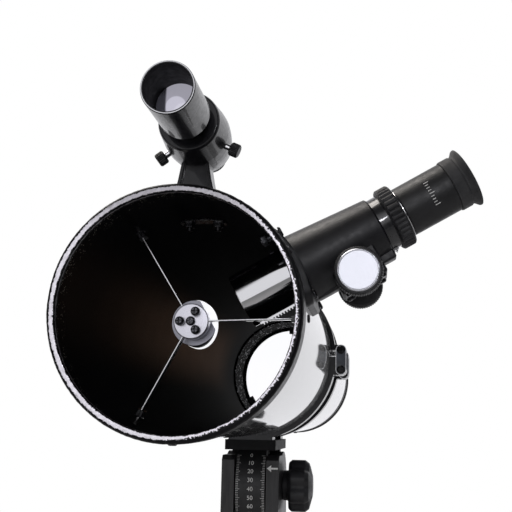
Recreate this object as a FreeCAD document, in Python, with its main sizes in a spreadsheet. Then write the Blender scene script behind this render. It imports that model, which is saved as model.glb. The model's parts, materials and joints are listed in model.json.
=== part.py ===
import FreeCAD, Part
import Sketcher
import os
import re

# Newtonian reflector on a narrow alt-azimuth (Dobsonian) base. Millimetres, +Z up.
# Origin: mouth of the tripod socket under the ground board, on the azimuth axis.
# The tube lies level along Y, with its open front end towards -Y.

SIZES = {
    # base
    "board_thickness": 18, "ground_radius": 205, "turntable_radius": 190, "board_chamfer": 2,
    "foot_radius": 20, "foot_depth": 20, "foot_circle": 170, "pad_circle": 150, "pad_height": 2,
    "hub_flange_radius": 22, "hub_flange": 4, "hub_shaft_radius": 10, "hub_thread_radius": 8,
    "socket_radius": 4.76, "socket_depth": 14, "running_gap": 0.05,
    "fork_gap": 29, "cheek_thickness": 11.5, "pivot_height": 570, "axle_radius": 6,
    "spacer_front": -35, "spacer_rear": 24, "spacer_thickness": 16, "spacer_top": -52,
    "wood_screw_radius": 2.5, "wood_screw_length": 22,
    # cradle
    "drum_radius": 45, "drum_width": 27, "plate_top": -76, "plate_thickness": 9, "plate_width": 46,
    "cradle_front": 330, "ring_width": 22, "ring_pitch": 75, "ring_radius": 76, "ring_gap": 0.3,
    "link_reach": 81, "link_upper": 5.9, "link_lower": -11.9, "link_half_width": 4.7,
    "link_thickness": 2, "pin_radius": 2, "clamp_reach": 86, "clamp_stud_radius": 3,
    # tube
    "tube_above_pivot": 118, "pivot_from_front": 378, "tube_radius": 72, "tube_wall": 0.8,
    "tube_length": 826, "front_reach": 19, "end_ring_radius": 73.4, "end_ring_skirt": 22, "ring_lip": 6,
    "aperture_radius": 68.5, "rear_opening": 62, "ring_screw_station": 14, "small_screw": 1.5,
    # spider and secondary mirror
    "spider_front": 36, "spider_depth": 8, "spider_hub_radius": 10.9, "vane_reach": 66,
    "spider_turn": 2, "adjuster_circle": 6.5, "holder_radius": 14.2, "holder_front": 47,
    "secondary_radius": 14.5, "secondary_thickness": 5, "focuser_station": 64,
    # primary mirror and its cell
    "mirror_radius": 65, "mirror_front": 769, "mirror_thickness": 15, "mirror_curvature": 1720,
    "cell_inner_radius": 69, "cell_front": 695, "cell_plate": 808, "cell_back": 816,
    "support_radius": 68, "support_front": 788, "support_back": 796, "collimation_circle": 45,
    "collimation_bolt": 2.5, "collimation_knob_radius": 9,
    # focuser and eyepiece
    "focuser_angle": 29.5, "flange_radius": 77, "focuser_foot_radius": 23.2, "focuser_foot": 55,
    "focuser_top_radius": 19.25, "focuser_top": 131.6, "drawtube_radius": 18, "drawtube_inner": 31.56,
    "drawtube_outer": 144.86, "barrel_radius": 15.875, "clamp_low": 138.26, "clamp_top": 147.66,
    "clamp_radius": 20.85, "eyepiece_seat": 147.76, "eyepiece_radius": 16.4, "eyepiece_top": 195.8,
    "pinion_reach": 104, "pinion_drop": 23.7, "pinion_pitch": 3.9, "rack_line": 19.8,
    "shaft_radius": 3, "knob_radius": 15, "knob_inner": 24, "knob_outer": 36, "cap_radius": 13,
    "housing_low": 89.7, "housing_high": 121.2, "housing_half_width": 17,
    # finder
    "finder_lead": 12, "finder_height": 118.5, "shield_radius": 15.5, "finder_radius": 11.5,
    "finder_front": -40, "finder_rear": 80, "bracket_front": 19, "bracket_rear": 72,
    "finder_screw_station": 46,
    "finder_foot_station": 70, "finder_bolt_spread": 9.5,
}

doc = FreeCAD.newDocument("Telescope")
sheet = doc.addObject("Spreadsheet::Sheet", "dims")
for row, (alias, number) in enumerate(SIZES.items(), 1):
    sheet.set(f"A{row}", alias)
    sheet.set(f"B{row}", str(number))
    sheet.setAlias(f"B{row}", alias)
doc.recompute()

FUNCTIONS = ("cos", "sin", "sqrt")
nodes = []


# ---------------------------------------------------------------- working with the sheet

def formula(text):
    """The expression with every word that is a cell's alias looked up in the sheet."""
    def look_up(match):
        word = match.group(0)
        return word if word in FUNCTIONS else "dims." + word
    return re.sub(r"[a-z][a-z_]+", look_up, str(text))


def value(text):
    return float(sheet.evalExpression(formula(text)))


def bind(thing, path, text):
    thing.setExpression(path, formula(text))


# Where each group of parts has its own origin and, for the focuser, its own tilt about Y.
TUBE_HEIGHT = "(pivot_height + tube_above_pivot)"
FOCUSER_TILT = "90 - focuser_angle"
PINION_X = "pinion_reach * cos(focuser_angle) + pinion_drop * sin(focuser_angle)"
PINION_Z = "pinion_reach * sin(focuser_angle) - pinion_drop * cos(focuser_angle)"
STATIONS = {
    "base": ("0", "0", "0", "0"),
    "pivot": ("0", "0", "pivot_height", "0"),
    "tube": ("0", "-pivot_from_front", TUBE_HEIGHT, "0"),
    "finder": ("0", "-pivot_from_front - finder_lead", TUBE_HEIGHT + " + finder_height", "0"),
    "focuser": ("0", "focuser_station - pivot_from_front", TUBE_HEIGHT, FOCUSER_TILT),
    "pinion": (PINION_X, "focuser_station - pivot_from_front", TUBE_HEIGHT + " + " + PINION_Z,
               FOCUSER_TILT),
}


def node(label, station, thing):
    """Name a finished piece and put it at its station."""
    x, y, z, tilt = STATIONS[station]
    thing.Label = label
    thing.Placement = FreeCAD.Placement(FreeCAD.Vector(), FreeCAD.Rotation(FreeCAD.Vector(0, 1, 0), 1))
    for path, text in (("x", x), ("y", y), ("z", z)):
        bind(thing, "Placement.Base." + path, text)
    bind(thing, "Placement.Rotation.Angle", tilt)
    nodes.append(thing)
    return thing


# ---------------------------------------------------------------- PartDesign pieces

def new_body():
    return doc.addObject("PartDesign::Body", "Body")


def new_sketch(body, plane, offset="0"):
    role = plane + "_Plane"
    base = next(item for item in body.Origin.OriginFeatures if item.Role == role)
    sketch = body.newObject("Sketcher::SketchObject", "Sketch")
    sketch.AttachmentSupport = [(base, "")]
    sketch.MapMode = "FlatFace"
    bind(sketch, "AttachmentOffset.Base.z", offset)
    return sketch


def draw_outline(sketch, points):
    """A closed outline whose every corner is held by two dimensions from the sheet."""
    corners = [FreeCAD.Vector(value(x), value(y), 0) for x, y in points]
    count = len(corners)
    first = sketch.GeometryCount
    for index in range(count):
        line = Part.LineSegment(corners[index], corners[(index + 1) % count])
        sketch.addGeometry(line, False)
    for index, (x, y) in enumerate(points):
        after = first + (index + 1) % count
        sketch.addConstraint(Sketcher.Constraint("Coincident", first + index, 2, after, 1))
        hold_point(sketch, first + index, 1, x, y)


def hold_point(sketch, edge, end, x, y):
    for kind, text in (("DistanceX", x), ("DistanceY", y)):
        held = Sketcher.Constraint(kind, -1, 1, edge, end, value(text))
        bind(sketch, f"Constraints[{sketch.addConstraint(held)}]", text)


def draw_circle(sketch, x, y, radius):
    centre = FreeCAD.Vector(value(x), value(y), 0)
    edge = sketch.addGeometry(Part.Circle(centre, FreeCAD.Vector(0, 0, 1), value(radius)), False)
    hold_point(sketch, edge, 3, x, y)
    size = sketch.addConstraint(Sketcher.Constraint("Radius", edge, value(radius)))
    bind(sketch, f"Constraints[{size}]", radius)


def draw(sketch, shapes):
    """Circles are (x, y, radius); an outline is a list of corners."""
    for shape in shapes:
        if isinstance(shape, list):
            draw_outline(sketch, shape)
        else:
            draw_circle(sketch, *shape)


def rectangle(x_low, x_high, y_low, y_high):
    return [(x_low, y_low), (x_high, y_low), (x_high, y_high), (x_low, y_high)]


def through(kind, body, plane, shapes, low, high):
    """A pad or pocket between two levels of the plane's normal, centred on its sketch."""
    sign = "-" if plane == "XZ" else ""
    sketch = new_sketch(body, plane, f"{sign}(({low}) + ({high})) / 2")
    draw(sketch, shapes)
    doc.recompute()
    before = body.Shape.Volume if body.Tip else 0
    feature = body.newObject("PartDesign::" + kind, kind)
    feature.Profile = sketch
    feature.SideType = "Symmetric"
    bind(feature, "Length", f"({high}) - ({low})")
    doc.recompute()
    grown = body.Shape.Volume - before
    if (grown > 0) != (kind == "Pad") or abs(grown) < 0.01:
        raise RuntimeError(f"{kind} on {plane} changed the volume by {grown:.3f}")
    return feature


def pad(body, plane, shapes, low, high):
    return through("Pad", body, plane, shapes, low, high)


def pocket(body, plane, shapes, low, high):
    return through("Pocket", body, plane, shapes, low, high)


def prism(plane, shapes, low, high):
    body = new_body()
    pad(body, plane, shapes, low, high)
    return body


def turned(axis, points):
    """A turned piece. Each corner is (radius, place along the axis)."""
    body = new_body()
    sketch = new_sketch(body, "XZ" if axis == "Z" else "XY")
    draw_outline(sketch, [(y, x) for x, y in points] if axis == "X" else points)
    feature = body.newObject("PartDesign::Revolution", "Revolution")
    feature.Profile = sketch
    feature.ReferenceAxis = (sketch, ["H_Axis" if axis == "X" else "V_Axis"])
    feature.Angle = 360
    doc.recompute()
    return body


def pattern(body, feature, kind, count, axis, extent):
    repeat = body.newObject("PartDesign::" + kind, kind)
    repeat.Originals = [feature]
    line = next(item for item in body.Origin.OriginFeatures if item.Role == axis + "_Axis")
    if kind == "PolarPattern":
        repeat.Axis = (line, [""])
        repeat.Angle = extent
    else:
        repeat.Direction = (line, [""])
        bind(repeat, "Length", extent)
    repeat.Occurrences = count
    body.Tip = repeat
    doc.recompute()
    return repeat


# ---------------------------------------------------------------- Part pieces

AXIS_TURNS = {"X": ((0, 1, 0), "90"), "Y": ((1, 0, 0), "-90"), "Z": ((0, 0, 1), "0")}


def set_place(thing, at, axis, angle):
    thing.Placement.Rotation = FreeCAD.Rotation(FreeCAD.Vector(*axis), 1)
    for path, text in zip("xyz", at):
        bind(thing, "Placement.Base." + path, text)
    bind(thing, "Placement.Rotation.Angle", angle)


def cylinder(axis, at, radius, length):
    """A cylinder that starts at a point and runs along X, Y or Z."""
    thing = doc.addObject("Part::Cylinder", "Cylinder")
    bind(thing, "Radius", radius)
    bind(thing, "Height", length)
    set_place(thing, at, *AXIS_TURNS[axis])
    return thing


def radial(angle, station, inner, radius, length):
    """A cylinder that points away from the Y axis, at an angle above +X."""
    at = (f"({inner}) * cos({angle})", station, f"({inner}) * sin({angle})")
    thing = cylinder("Z", at, radius, length)
    set_place(thing, at, (0, 1, 0), f"90 - ({angle})")
    return thing


def box(low, high):
    thing = doc.addObject("Part::Box", "Box")
    for path, start, end in zip(("Length", "Width", "Height"), low, high):
        bind(thing, path, f"({end}) - ({start})")
    for path, start in zip("xyz", low):
        bind(thing, "Placement.Base." + path, start)
    return thing


def cone(at, low_radius, high_radius, height):
    thing = doc.addObject("Part::Cone", "Cone")
    bind(thing, "Radius1", low_radius)
    bind(thing, "Radius2", high_radius)
    bind(thing, "Height", height)
    for path, text in zip("xyz", at):
        bind(thing, "Placement.Base." + path, text)
    return thing


def hexagon(at, circumradius, height):
    thing = doc.addObject("Part::Prism", "Prism")
    thing.Polygon = 6
    bind(thing, "Circumradius", circumradius)
    bind(thing, "Height", height)
    for path, text in zip("xyz", at):
        bind(thing, "Placement.Base." + path, text)
    return thing


def gathered(kind, things):
    result = doc.addObject(kind, kind.split("::")[1])
    setattr(result, "Links" if kind.endswith("Compound") else "Shapes", list(things))
    return result


def fuse(*things):
    return gathered("Part::MultiFuse", things)


def common(*things):
    return gathered("Part::MultiCommon", things)


def group(*things):
    return gathered("Part::Compound", things)


def cut(base, *tools):
    result = doc.addObject("Part::Cut", "Cut")
    result.Base = base
    result.Tool = tools[0] if len(tools) == 1 else fuse(*tools)
    return result


def copied(thing, at=("0", "0", "0"), axis=(0, 0, 1), angle="0"):
    """The same piece again, turned about its origin and then moved."""
    copy = group(thing)
    set_place(copy, at, axis, angle)
    return copy


def spread(thing, axis, angles):
    return [copied(thing, axis=axis, angle=angle) for angle in angles]


THIRDS = ("0", "120", "240")
UP = (0, 0, 1)
ALONG = (0, 1, 0)


# ---------------------------------------------------------------- ground board and turntable

PADS_TOP = "(board_thickness + pad_height)"
TURNTABLE_LOW = f"({PADS_TOP} + running_gap)"
TURNTABLE_TOP = f"({PADS_TOP} + running_gap + board_thickness)"


def build_base():
    node("ground_board", "base", turned("Z", [
        ("hub_flange_radius", "0"), ("ground_radius - board_chamfer", "0"),
        ("ground_radius", "board_chamfer"), ("ground_radius", "board_thickness - board_chamfer"),
        ("ground_radius - board_chamfer", "board_thickness"), ("hub_shaft_radius", "board_thickness"),
        ("hub_shaft_radius", "hub_flange"), ("hub_flange_radius", "hub_flange")]))

    foot = turned("Z", [("0", "-foot_depth"), ("foot_radius - 3", "-foot_depth"),
                        ("foot_radius", "-foot_depth + 3"), ("foot_radius", "0"), ("0", "0")])
    foot = copied(foot, at=("0", "foot_circle", "0"))
    node("rubber_feet", "base", group(*spread(foot, UP, THIRDS)))

    slider = box(("-15", "pad_circle - 10", "board_thickness"), ("15", "pad_circle + 10", PADS_TOP))
    node("azimuth_pads", "base", group(*spread(slider, UP, THIRDS)))

    shoulder = f"{TURNTABLE_TOP} + 0.1"
    node("azimuth_hub", "base", turned("Z", [
        ("socket_radius", "0"), ("hub_flange_radius", "0"), ("hub_flange_radius", "hub_flange"),
        ("hub_shaft_radius", "hub_flange"), ("hub_shaft_radius", shoulder),
        ("hub_thread_radius", shoulder), ("hub_thread_radius", shoulder + " + 14"),
        ("0", shoulder + " + 14"), ("0", "socket_depth"), ("socket_radius", "socket_depth")]))

    nut = fuse(cylinder("Z", ("0", "0", shoulder), "13.5", "3"),
               hexagon(("0", "0", shoulder), "12.5", "12"))
    thread = cylinder("Z", ("0", "0", shoulder), "hub_thread_radius", "12")
    node("azimuth_nut", "base", cut(nut, thread))

    bore = "hub_shaft_radius + running_gap"
    node("turntable_board", "base", turned("Z", [
        (bore, TURNTABLE_LOW), ("turntable_radius - board_chamfer", TURNTABLE_LOW),
        ("turntable_radius", TURNTABLE_LOW + " + board_chamfer"),
        ("turntable_radius", TURNTABLE_TOP + " - board_chamfer"),
        ("turntable_radius - board_chamfer", TURNTABLE_TOP), (bore, TURNTABLE_TOP)]))


# ---------------------------------------------------------------- fork and altitude axle

FORK_FOOT = f"({TURNTABLE_TOP} - pivot_height)"
CHEEK_INNER = "fork_gap / 2"
CHEEK_OUTER = "(fork_gap / 2 + cheek_thickness)"
WOOD_SCREW_LEVELS = ("-500", "-370", "-240", "-110")
SPACERS = ("spacer_front", "spacer_rear")
CHEEK_SIDE = [("-45", "-90"), ("-45", "24"), ("-41", "28"), ("10", "28"), ("31", "0"), ("31", "-20"),
              ("100", FORK_FOOT), ("-100", FORK_FOOT)]
CHEEK_TOP_RADIUS = "31"


def build_fork():
    screw_holes = [(y, z, "wood_screw_radius") for y in SPACERS for z in WOOD_SCREW_LEVELS]
    for label, sign in (("fork_left", "-1"), ("fork_right", "1")):
        faces = [f"{sign} * {CHEEK_INNER}", f"{sign} * {CHEEK_OUTER}"]
        low, high = sorted(faces, key=value)
        cheek = prism("YZ", [CHEEK_SIDE], low, high)
        pad(cheek, "YZ", [("0", "0", CHEEK_TOP_RADIUS)], low, high)
        pocket(cheek, "YZ", screw_holes + [("0", "0", "axle_radius")], low, high)
        node(label, "pivot", cheek)

    spacers = []
    for y in SPACERS:
        spacer = prism("YZ", [rectangle(f"{y} - spacer_thickness / 2", f"{y} + spacer_thickness / 2",
                                        FORK_FOOT, "spacer_top")], f"-{CHEEK_INNER}", CHEEK_INNER)
        pocket(spacer, "YZ", [(y, z, "wood_screw_radius") for z in WOOD_SCREW_LEVELS],
               f"-{CHEEK_INNER}", CHEEK_INNER)
        spacers.append(spacer)
    node("fork_spacers", "pivot", group(*spacers))

    screw = turned("X", [("0", CHEEK_OUTER + " + 2"), ("3.5", CHEEK_OUTER + " + 2"),
                         ("5", CHEEK_OUTER + " + 1"), ("5", CHEEK_OUTER),
                         ("wood_screw_radius", CHEEK_OUTER),
                         ("wood_screw_radius", CHEEK_OUTER + " - wood_screw_length"),
                         ("0", CHEEK_OUTER + " - wood_screw_length - 2")])
    screws = [copied(screw, at=("0", y, z), angle=turn)
              for turn in ("0", "180") for y in SPACERS for z in WOOD_SCREW_LEVELS]
    node("fork_screws", "pivot", group(*screws))


def build_altitude_axle():
    node("altitude_axle", "pivot", turned("X", [
        ("0", f"-{CHEEK_OUTER} - 5"), ("7", f"-{CHEEK_OUTER} - 5"), ("12", f"-{CHEEK_OUTER} - 2.5"),
        ("13", f"-{CHEEK_OUTER}"), ("axle_radius", f"-{CHEEK_OUTER}"), ("axle_radius", "50"),
        ("0", "50")]))

    bore = "axle_radius + running_gap"
    knob = turned("X", [
        (bore, CHEEK_OUTER + " + 0.3"), ("14", CHEEK_OUTER + " + 0.3"), ("14", "31"), ("22", "31"),
        ("24", "33"), ("24", "48"), ("22", "50.5"), ("9", "54"), ("0", "54"), ("0", "50.2"),
        (bore, "50.2")])
    grip = pocket(knob, "YZ", [("0", "28", "7")], "31", "54")
    pattern(knob, grip, "PolarPattern", 7, "X", 360)
    node("altitude_knob", "pivot", knob)

    washers = []
    for sign in ("-1", "1"):
        ends = sorted([f"{sign} * (drum_width / 2 + running_gap)",
                       f"{sign} * (fork_gap / 2 - running_gap)"], key=value)
        washers.append(turned("X", rectangle(bore, "22", *ends)))
    node("friction_washers", "pivot", group(*washers))


# ---------------------------------------------------------------- drum, plate and tube rings

DRUM_TOP = "(tube_above_pivot + plate_top - plate_thickness)"
PLATE_LOW = "(plate_top - plate_thickness)"
DRUM_SCREWS = [(x, y) for x in ("-8", "8") for y in ("-18", "18")]
RING_CENTRES = ("cradle_front + ring_width / 2", "cradle_front + ring_width / 2 + ring_pitch")


def build_cradle():
    half = "drum_width / 2"
    drum = prism("YZ", [("0", "0", "drum_radius")], f"-{half}", half)
    pocket(drum, "YZ", [rectangle("-drum_radius - 5", "drum_radius + 5", DRUM_TOP, "drum_radius + 5")],
           f"-{half}", half)
    pocket(drum, "YZ", [("0", "0", "axle_radius + running_gap")], f"-{half}", half)
    pocket(drum, "XY", [(x, y, "2") for x, y in DRUM_SCREWS], DRUM_TOP + " - 14", DRUM_TOP)
    node("altitude_drum", "pivot", drum)

    rear = "cradle_front + ring_width + ring_pitch"
    plate = prism("XY", [rectangle("-plate_width / 2", "plate_width / 2", "cradle_front", rear)],
                  PLATE_LOW, "plate_top")
    pocket(plate, "XY", [("0", y, "3") for y in RING_CENTRES], PLATE_LOW, "plate_top")
    pocket(plate, "XY", [("0", y, "5.5") for y in RING_CENTRES], PLATE_LOW, PLATE_LOW + " + 5.5")
    over_pivot = [(x, f"pivot_from_front + ({y})") for x, y in DRUM_SCREWS]
    pocket(plate, "XY", [(x, y, "2") for x, y in over_pivot], PLATE_LOW, "plate_top")
    pocket(plate, "XY", [(x, y, "4") for x, y in over_pivot], "plate_top - 3", "plate_top")
    node("cradle_plate", "tube", plate)

    screws = []
    for y in RING_CENTRES:
        screws.append(fuse(cylinder("Z", ("0", y, PLATE_LOW + " + 0.5"), "5", "5"),
                           cylinder("Z", ("0", y, PLATE_LOW + " + 5.5"), "3", "6.5")))
    for x, y in over_pivot:
        screws.append(fuse(cylinder("Z", (x, y, "plate_top - 3"), "3.8", "2.5"),
                           cylinder("Z", (x, y, PLATE_LOW + " - 12"), "2", "18")))
    node("cradle_screws", "tube", group(*screws))


def ring_half(front, upper):
    """Half of a hinged tube ring: the hinge ear is at +X and the clamp ear at -X."""
    back = f"{front} + ring_width"
    far = "ring_radius + 20"
    if upper:
        hinge, side = "link_upper", box((f"-({far})", front, "0.4"), (far, back, far))
        ear = box(("ring_radius - 6", front, hinge), ("link_reach", back, f"{hinge} + link_half_width"))
        clamp = box(("-clamp_reach - 6", front, "0.4"), ("-ring_radius + 5", back, "8.4"))
    else:
        hinge, side = "link_lower", box((f"-({far})", front, f"-({far})"), (far, back, "-0.4"))
        ear = box(("ring_radius - 6", front, f"{hinge} - link_half_width"),
                  ("link_reach", back, f"{hinge} + link_half_width"))
        clamp = box(("-clamp_reach - 6", front, "-8"), ("-ring_radius + 5", back, "-0.4"))
    band = common(cylinder("Y", ("0", front, "0"), "ring_radius", "ring_width"), side)
    knuckle = cylinder("Y", ("link_reach", front, hinge), "link_half_width", "ring_width")
    pieces = [band, ear, knuckle, clamp]
    gap = "ring_gap" if upper else "0"
    tools = [cylinder("Y", ("0", front, "0"), f"tube_radius + {gap}", "ring_width"),
             cylinder("Y", ("link_reach", front, hinge),
                      "pin_radius + running_gap" if upper else "pin_radius", "ring_width")]
    middle = f"{front} + ring_width / 2"
    if upper:
        tools.append(box(("ring_radius - 8", front, "0"), ("ring_radius + 0.3", back, hinge)))
        tools.append(cylinder("Z", ("-clamp_reach", middle, "0"), "clamp_stud_radius + running_gap", "9"))
    else:
        pieces.append(box(("-20", front, "plate_top"), ("20", back, "-ring_radius + 8")))
        tools.append(cylinder("Z", ("0", middle, "plate_top"), "3", "5"))
        tools.append(cylinder("Z", ("-clamp_reach", middle, "-9"), "3.5", "9"))
        slot = (("-clamp_reach - 7", f"{middle} - 3.5", "-9"), ("-clamp_reach", f"{middle} + 3.5", "0"))
        tools.append(box(*slot))
    return cut(fuse(*pieces), *tools)


def build_tube_rings():
    fronts = {"front": "cradle_front", "rear": "cradle_front + ring_pitch"}
    links, pins = [], []
    for name, front in fronts.items():
        node(f"ring_{name}_lower", "tube", ring_half(front, False))
        node(f"ring_{name}_upper", "tube", ring_half(front, True))
        for low in (f"{front} - link_thickness - 0.1", f"{front} + ring_width + 0.1"):
            ends = [cylinder("Y", ("link_reach", low, z), "link_half_width", "link_thickness")
                    for z in ("link_upper", "link_lower")]
            bar = box(("link_reach - link_half_width", low, "link_lower"),
                      ("link_reach + link_half_width", f"{low} + link_thickness", "link_upper"))
            holes = [cylinder("Y", ("link_reach", low, z), "pin_radius", "link_thickness")
                     for z in ("link_upper", "link_lower")]
            links.append(cut(fuse(bar, *ends), *holes))
        for z in ("link_upper", "link_lower"):
            span = "ring_width + 2 * link_thickness + 0.2"
            start = f"{front} - link_thickness - 0.1"
            pins.append(fuse(cylinder("Y", ("link_reach", start, z), "pin_radius", span),
                             cylinder("Y", ("link_reach", start + " - 1.4", z), "3.3", "1.4"),
                             cylinder("Y", ("link_reach", f"{start} + {span}", z), "3.3", "1.4")))
    node("ring_links", "tube", group(*links))
    node("link_pins", "tube", group(*pins))

    for name, front in fronts.items():
        knob = turned("Z", [("0", "-7.5"), ("clamp_stud_radius", "-7.5"), ("clamp_stud_radius", "8.6"),
                            ("7", "8.6"), ("9", "10.5"), ("9", "21"), ("7.5", "23"), ("0", "23")])
        grip = pocket(knob, "XY", [("10.6", "0", "2.6")], "8.6", "23")
        pattern(knob, grip, "PolarPattern", 10, "Z", 360)
        placed = copied(knob, at=("-clamp_reach", f"{front} + ring_width / 2", "0"))
        node(f"clamp_knob_{name}", "tube", group(placed))


# ---------------------------------------------------------------- tube and its end rings

RING_SCREW_ANGLES = ("150", "270", "30")
VANE_SCREW_STATION = "spider_front + spider_depth / 2"
VANE_ANGLES = ("spider_turn", "120 + spider_turn", "240 + spider_turn")
FRONT_SCREW_STATION = "ring_screw_station - front_reach"
REAR_SCREW_STATION = "tube_length - ring_screw_station"
FOCUSER_BOLTS = [(x, y) for x in ("-22", "22") for y in ("-27", "27")]
FINDER_BOLTS = ("-finder_bolt_spread", "finder_bolt_spread")


def end_screw_holes(station):
    return [radial(angle, station, "60", "small_screw", "20") for angle in RING_SCREW_ANGLES]


def in_tube_frame(thing):
    """Something drawn at the focuser's station, moved to the tube's own origin."""
    return copied(thing, at=("0", "focuser_station", "0"), axis=ALONG, angle=FOCUSER_TILT)


def build_tube():
    shell = turned("Y", rectangle("tube_radius - tube_wall", "tube_radius", "ring_lip - front_reach",
                                  "tube_length - ring_lip"))
    tools = [radial("focuser_angle", "focuser_station", "50", "drawtube_radius + 2.5", "30")]
    tools += end_screw_holes(FRONT_SCREW_STATION) + end_screw_holes(REAR_SCREW_STATION)
    tools += [radial(angle, VANE_SCREW_STATION, "60", "small_screw", "20") for angle in VANE_ANGLES]
    tools += [in_tube_frame(cylinder("Z", (x, y, "60"), "2", "20")) for x, y in FOCUSER_BOLTS]
    tools += [cylinder("Z", (x, "finder_foot_station", "60"), "2", "20") for x in FINDER_BOLTS]
    node("main_tube", "tube", cut(shell, *tools))

    mouth, front_skirt = "-front_reach", "end_ring_skirt - front_reach"
    front = turned("Y", [
        ("aperture_radius", mouth + " + 0.6"), ("aperture_radius + 0.6", mouth),
        ("end_ring_radius - 1.8", mouth),
        ("end_ring_radius", mouth + " + 2"), ("end_ring_radius", front_skirt + " - 3"),
        ("end_ring_radius - 0.8", front_skirt), ("tube_radius", front_skirt),
        ("tube_radius", mouth + " + ring_lip"), ("aperture_radius", mouth + " + ring_lip")])
    node("front_ring", "tube", cut(front, *end_screw_holes(FRONT_SCREW_STATION)))

    rear_skirt = "tube_length - end_ring_skirt"
    rear = turned("Y", [
        ("tube_radius", rear_skirt), ("end_ring_radius - 0.8", rear_skirt),
        ("end_ring_radius", rear_skirt + " + 3"), ("end_ring_radius", "tube_length - 2"),
        ("end_ring_radius - 2", "tube_length"), ("rear_opening + 2", "tube_length"),
        ("rear_opening", "tube_length - 2"), ("rear_opening", "tube_length - ring_lip"),
        ("tube_radius", "tube_length - ring_lip")])
    node("rear_ring", "tube", cut(rear, *end_screw_holes(REAR_SCREW_STATION)))

    screws = []
    for station, inner in ((FRONT_SCREW_STATION, "tube_radius - tube_wall"),
                           (REAR_SCREW_STATION, "cell_inner_radius")):
        for angle in RING_SCREW_ANGLES:
            screws.append(fuse(
                radial(angle, station, inner, "small_screw", f"end_ring_radius + 0.5 - ({inner})"),
                radial(angle, station, "end_ring_radius + 0.02", "2.6", "0.9")))
    for angle in VANE_ANGLES:
        screws.append(fuse(
            radial(angle, VANE_SCREW_STATION, "vane_reach", "small_screw", "tube_radius + 1 - vane_reach"),
            radial(angle, VANE_SCREW_STATION, "tube_radius + 0.02", "2.6", "0.9")))
    for x in FINDER_BOLTS:
        screws.append(fuse(cylinder("Z", (x, "finder_foot_station", "63"), "2", "15"),
                           cylinder("Z", (x, "finder_foot_station", "76.3"), "3.5", "3"),
                           cylinder("Z", (x, "finder_foot_station", "65.3"), "3.8", "4")))
    node("tube_screws", "tube", group(*screws))


# ---------------------------------------------------------------- spider and secondary mirror

SPIDER_TURNS = ("-spider_turn", "120 - spider_turn", "240 - spider_turn")


def build_secondary():
    back = "(spider_front + spider_depth)"
    hub = prism("XZ", [("0", "0", "spider_hub_radius")], "spider_front", back)
    pocket(hub, "XZ", [("0", "0", "2")], "spider_front", back)
    adjuster = pocket(hub, "XZ", [("-adjuster_circle", "0", "small_screw")], "spider_front", back)
    pattern(hub, adjuster, "PolarPattern", 3, "Y", 360)
    node("spider_hub", "tube", group(copied(hub, axis=ALONG, angle="-spider_turn")))

    vane = fuse(box(("spider_hub_radius", "spider_front + 0.5", "-0.5"),
                    ("vane_reach - 3", back + " - 0.5", "0.5")),
                box(("vane_reach - 4", "spider_front + 0.5", "-2"),
                    ("vane_reach", back + " - 0.5", "2")))
    trim = cylinder("Y", ("0", "spider_front", "0"), "spider_hub_radius", "spider_depth")
    node("spider_vanes", "tube", group(*spread(cut(vane, trim), ALONG, SPIDER_TURNS)))

    lock = turned("Y", [("0", "spider_front - 3.2"), ("2.4", "spider_front - 3.2"),
                        ("2.8", "spider_front - 2.6"), ("2.8", "spider_front"), ("2", "spider_front"),
                        ("2", "holder_front + 7"), ("0", "holder_front + 7")])
    adjust = turned("Y", [("0", "spider_front - 3.2"), ("2.4", "spider_front - 3.2"),
                          ("2.8", "spider_front - 2.6"), ("2.8", "spider_front"),
                          ("small_screw", "spider_front"), ("small_screw", "holder_front"),
                          ("0", "holder_front")])
    adjust = copied(adjust, at=("-adjuster_circle", "0", "0"))
    node("secondary_screws", "tube", group(lock, *spread(adjust, ALONG, SPIDER_TURNS)))

    # The mirror's face is the plane z = -y of the focuser's own axes, through both centre lines.
    rise = "secondary_thickness * sqrt(2)"
    low = "holder_front - focuser_station"
    holder = prism("XZ", [("0", "0", "holder_radius")], low, "20")
    pocket(holder, "YZ", [[(f"-20 - {rise}", "20"), ("30", "20"), ("30", "-30"), (f"30 - {rise}", "-30")]],
           "-20", "20")
    pocket(holder, "XZ", [("0", "0", "2")], low, low + " + 8")
    node("secondary_holder", "focuser", holder)

    mirror = prism("XZ", [("0", "0", "secondary_radius")], "-28", "28")
    pocket(mirror, "YZ", [[("-20", "20"), ("30", "20"), ("30", "-30")]], "-20", "20")
    pocket(mirror, "YZ", [[(f"-20 - {rise}", "20"), ("-40", "20"), ("-40", "-30"), (f"30 - {rise}", "-30")]],
           "-20", "20")
    node("secondary_mirror", "focuser", mirror)


# ---------------------------------------------------------------- primary mirror and its cell

MIRROR_STEPS = 8


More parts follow.
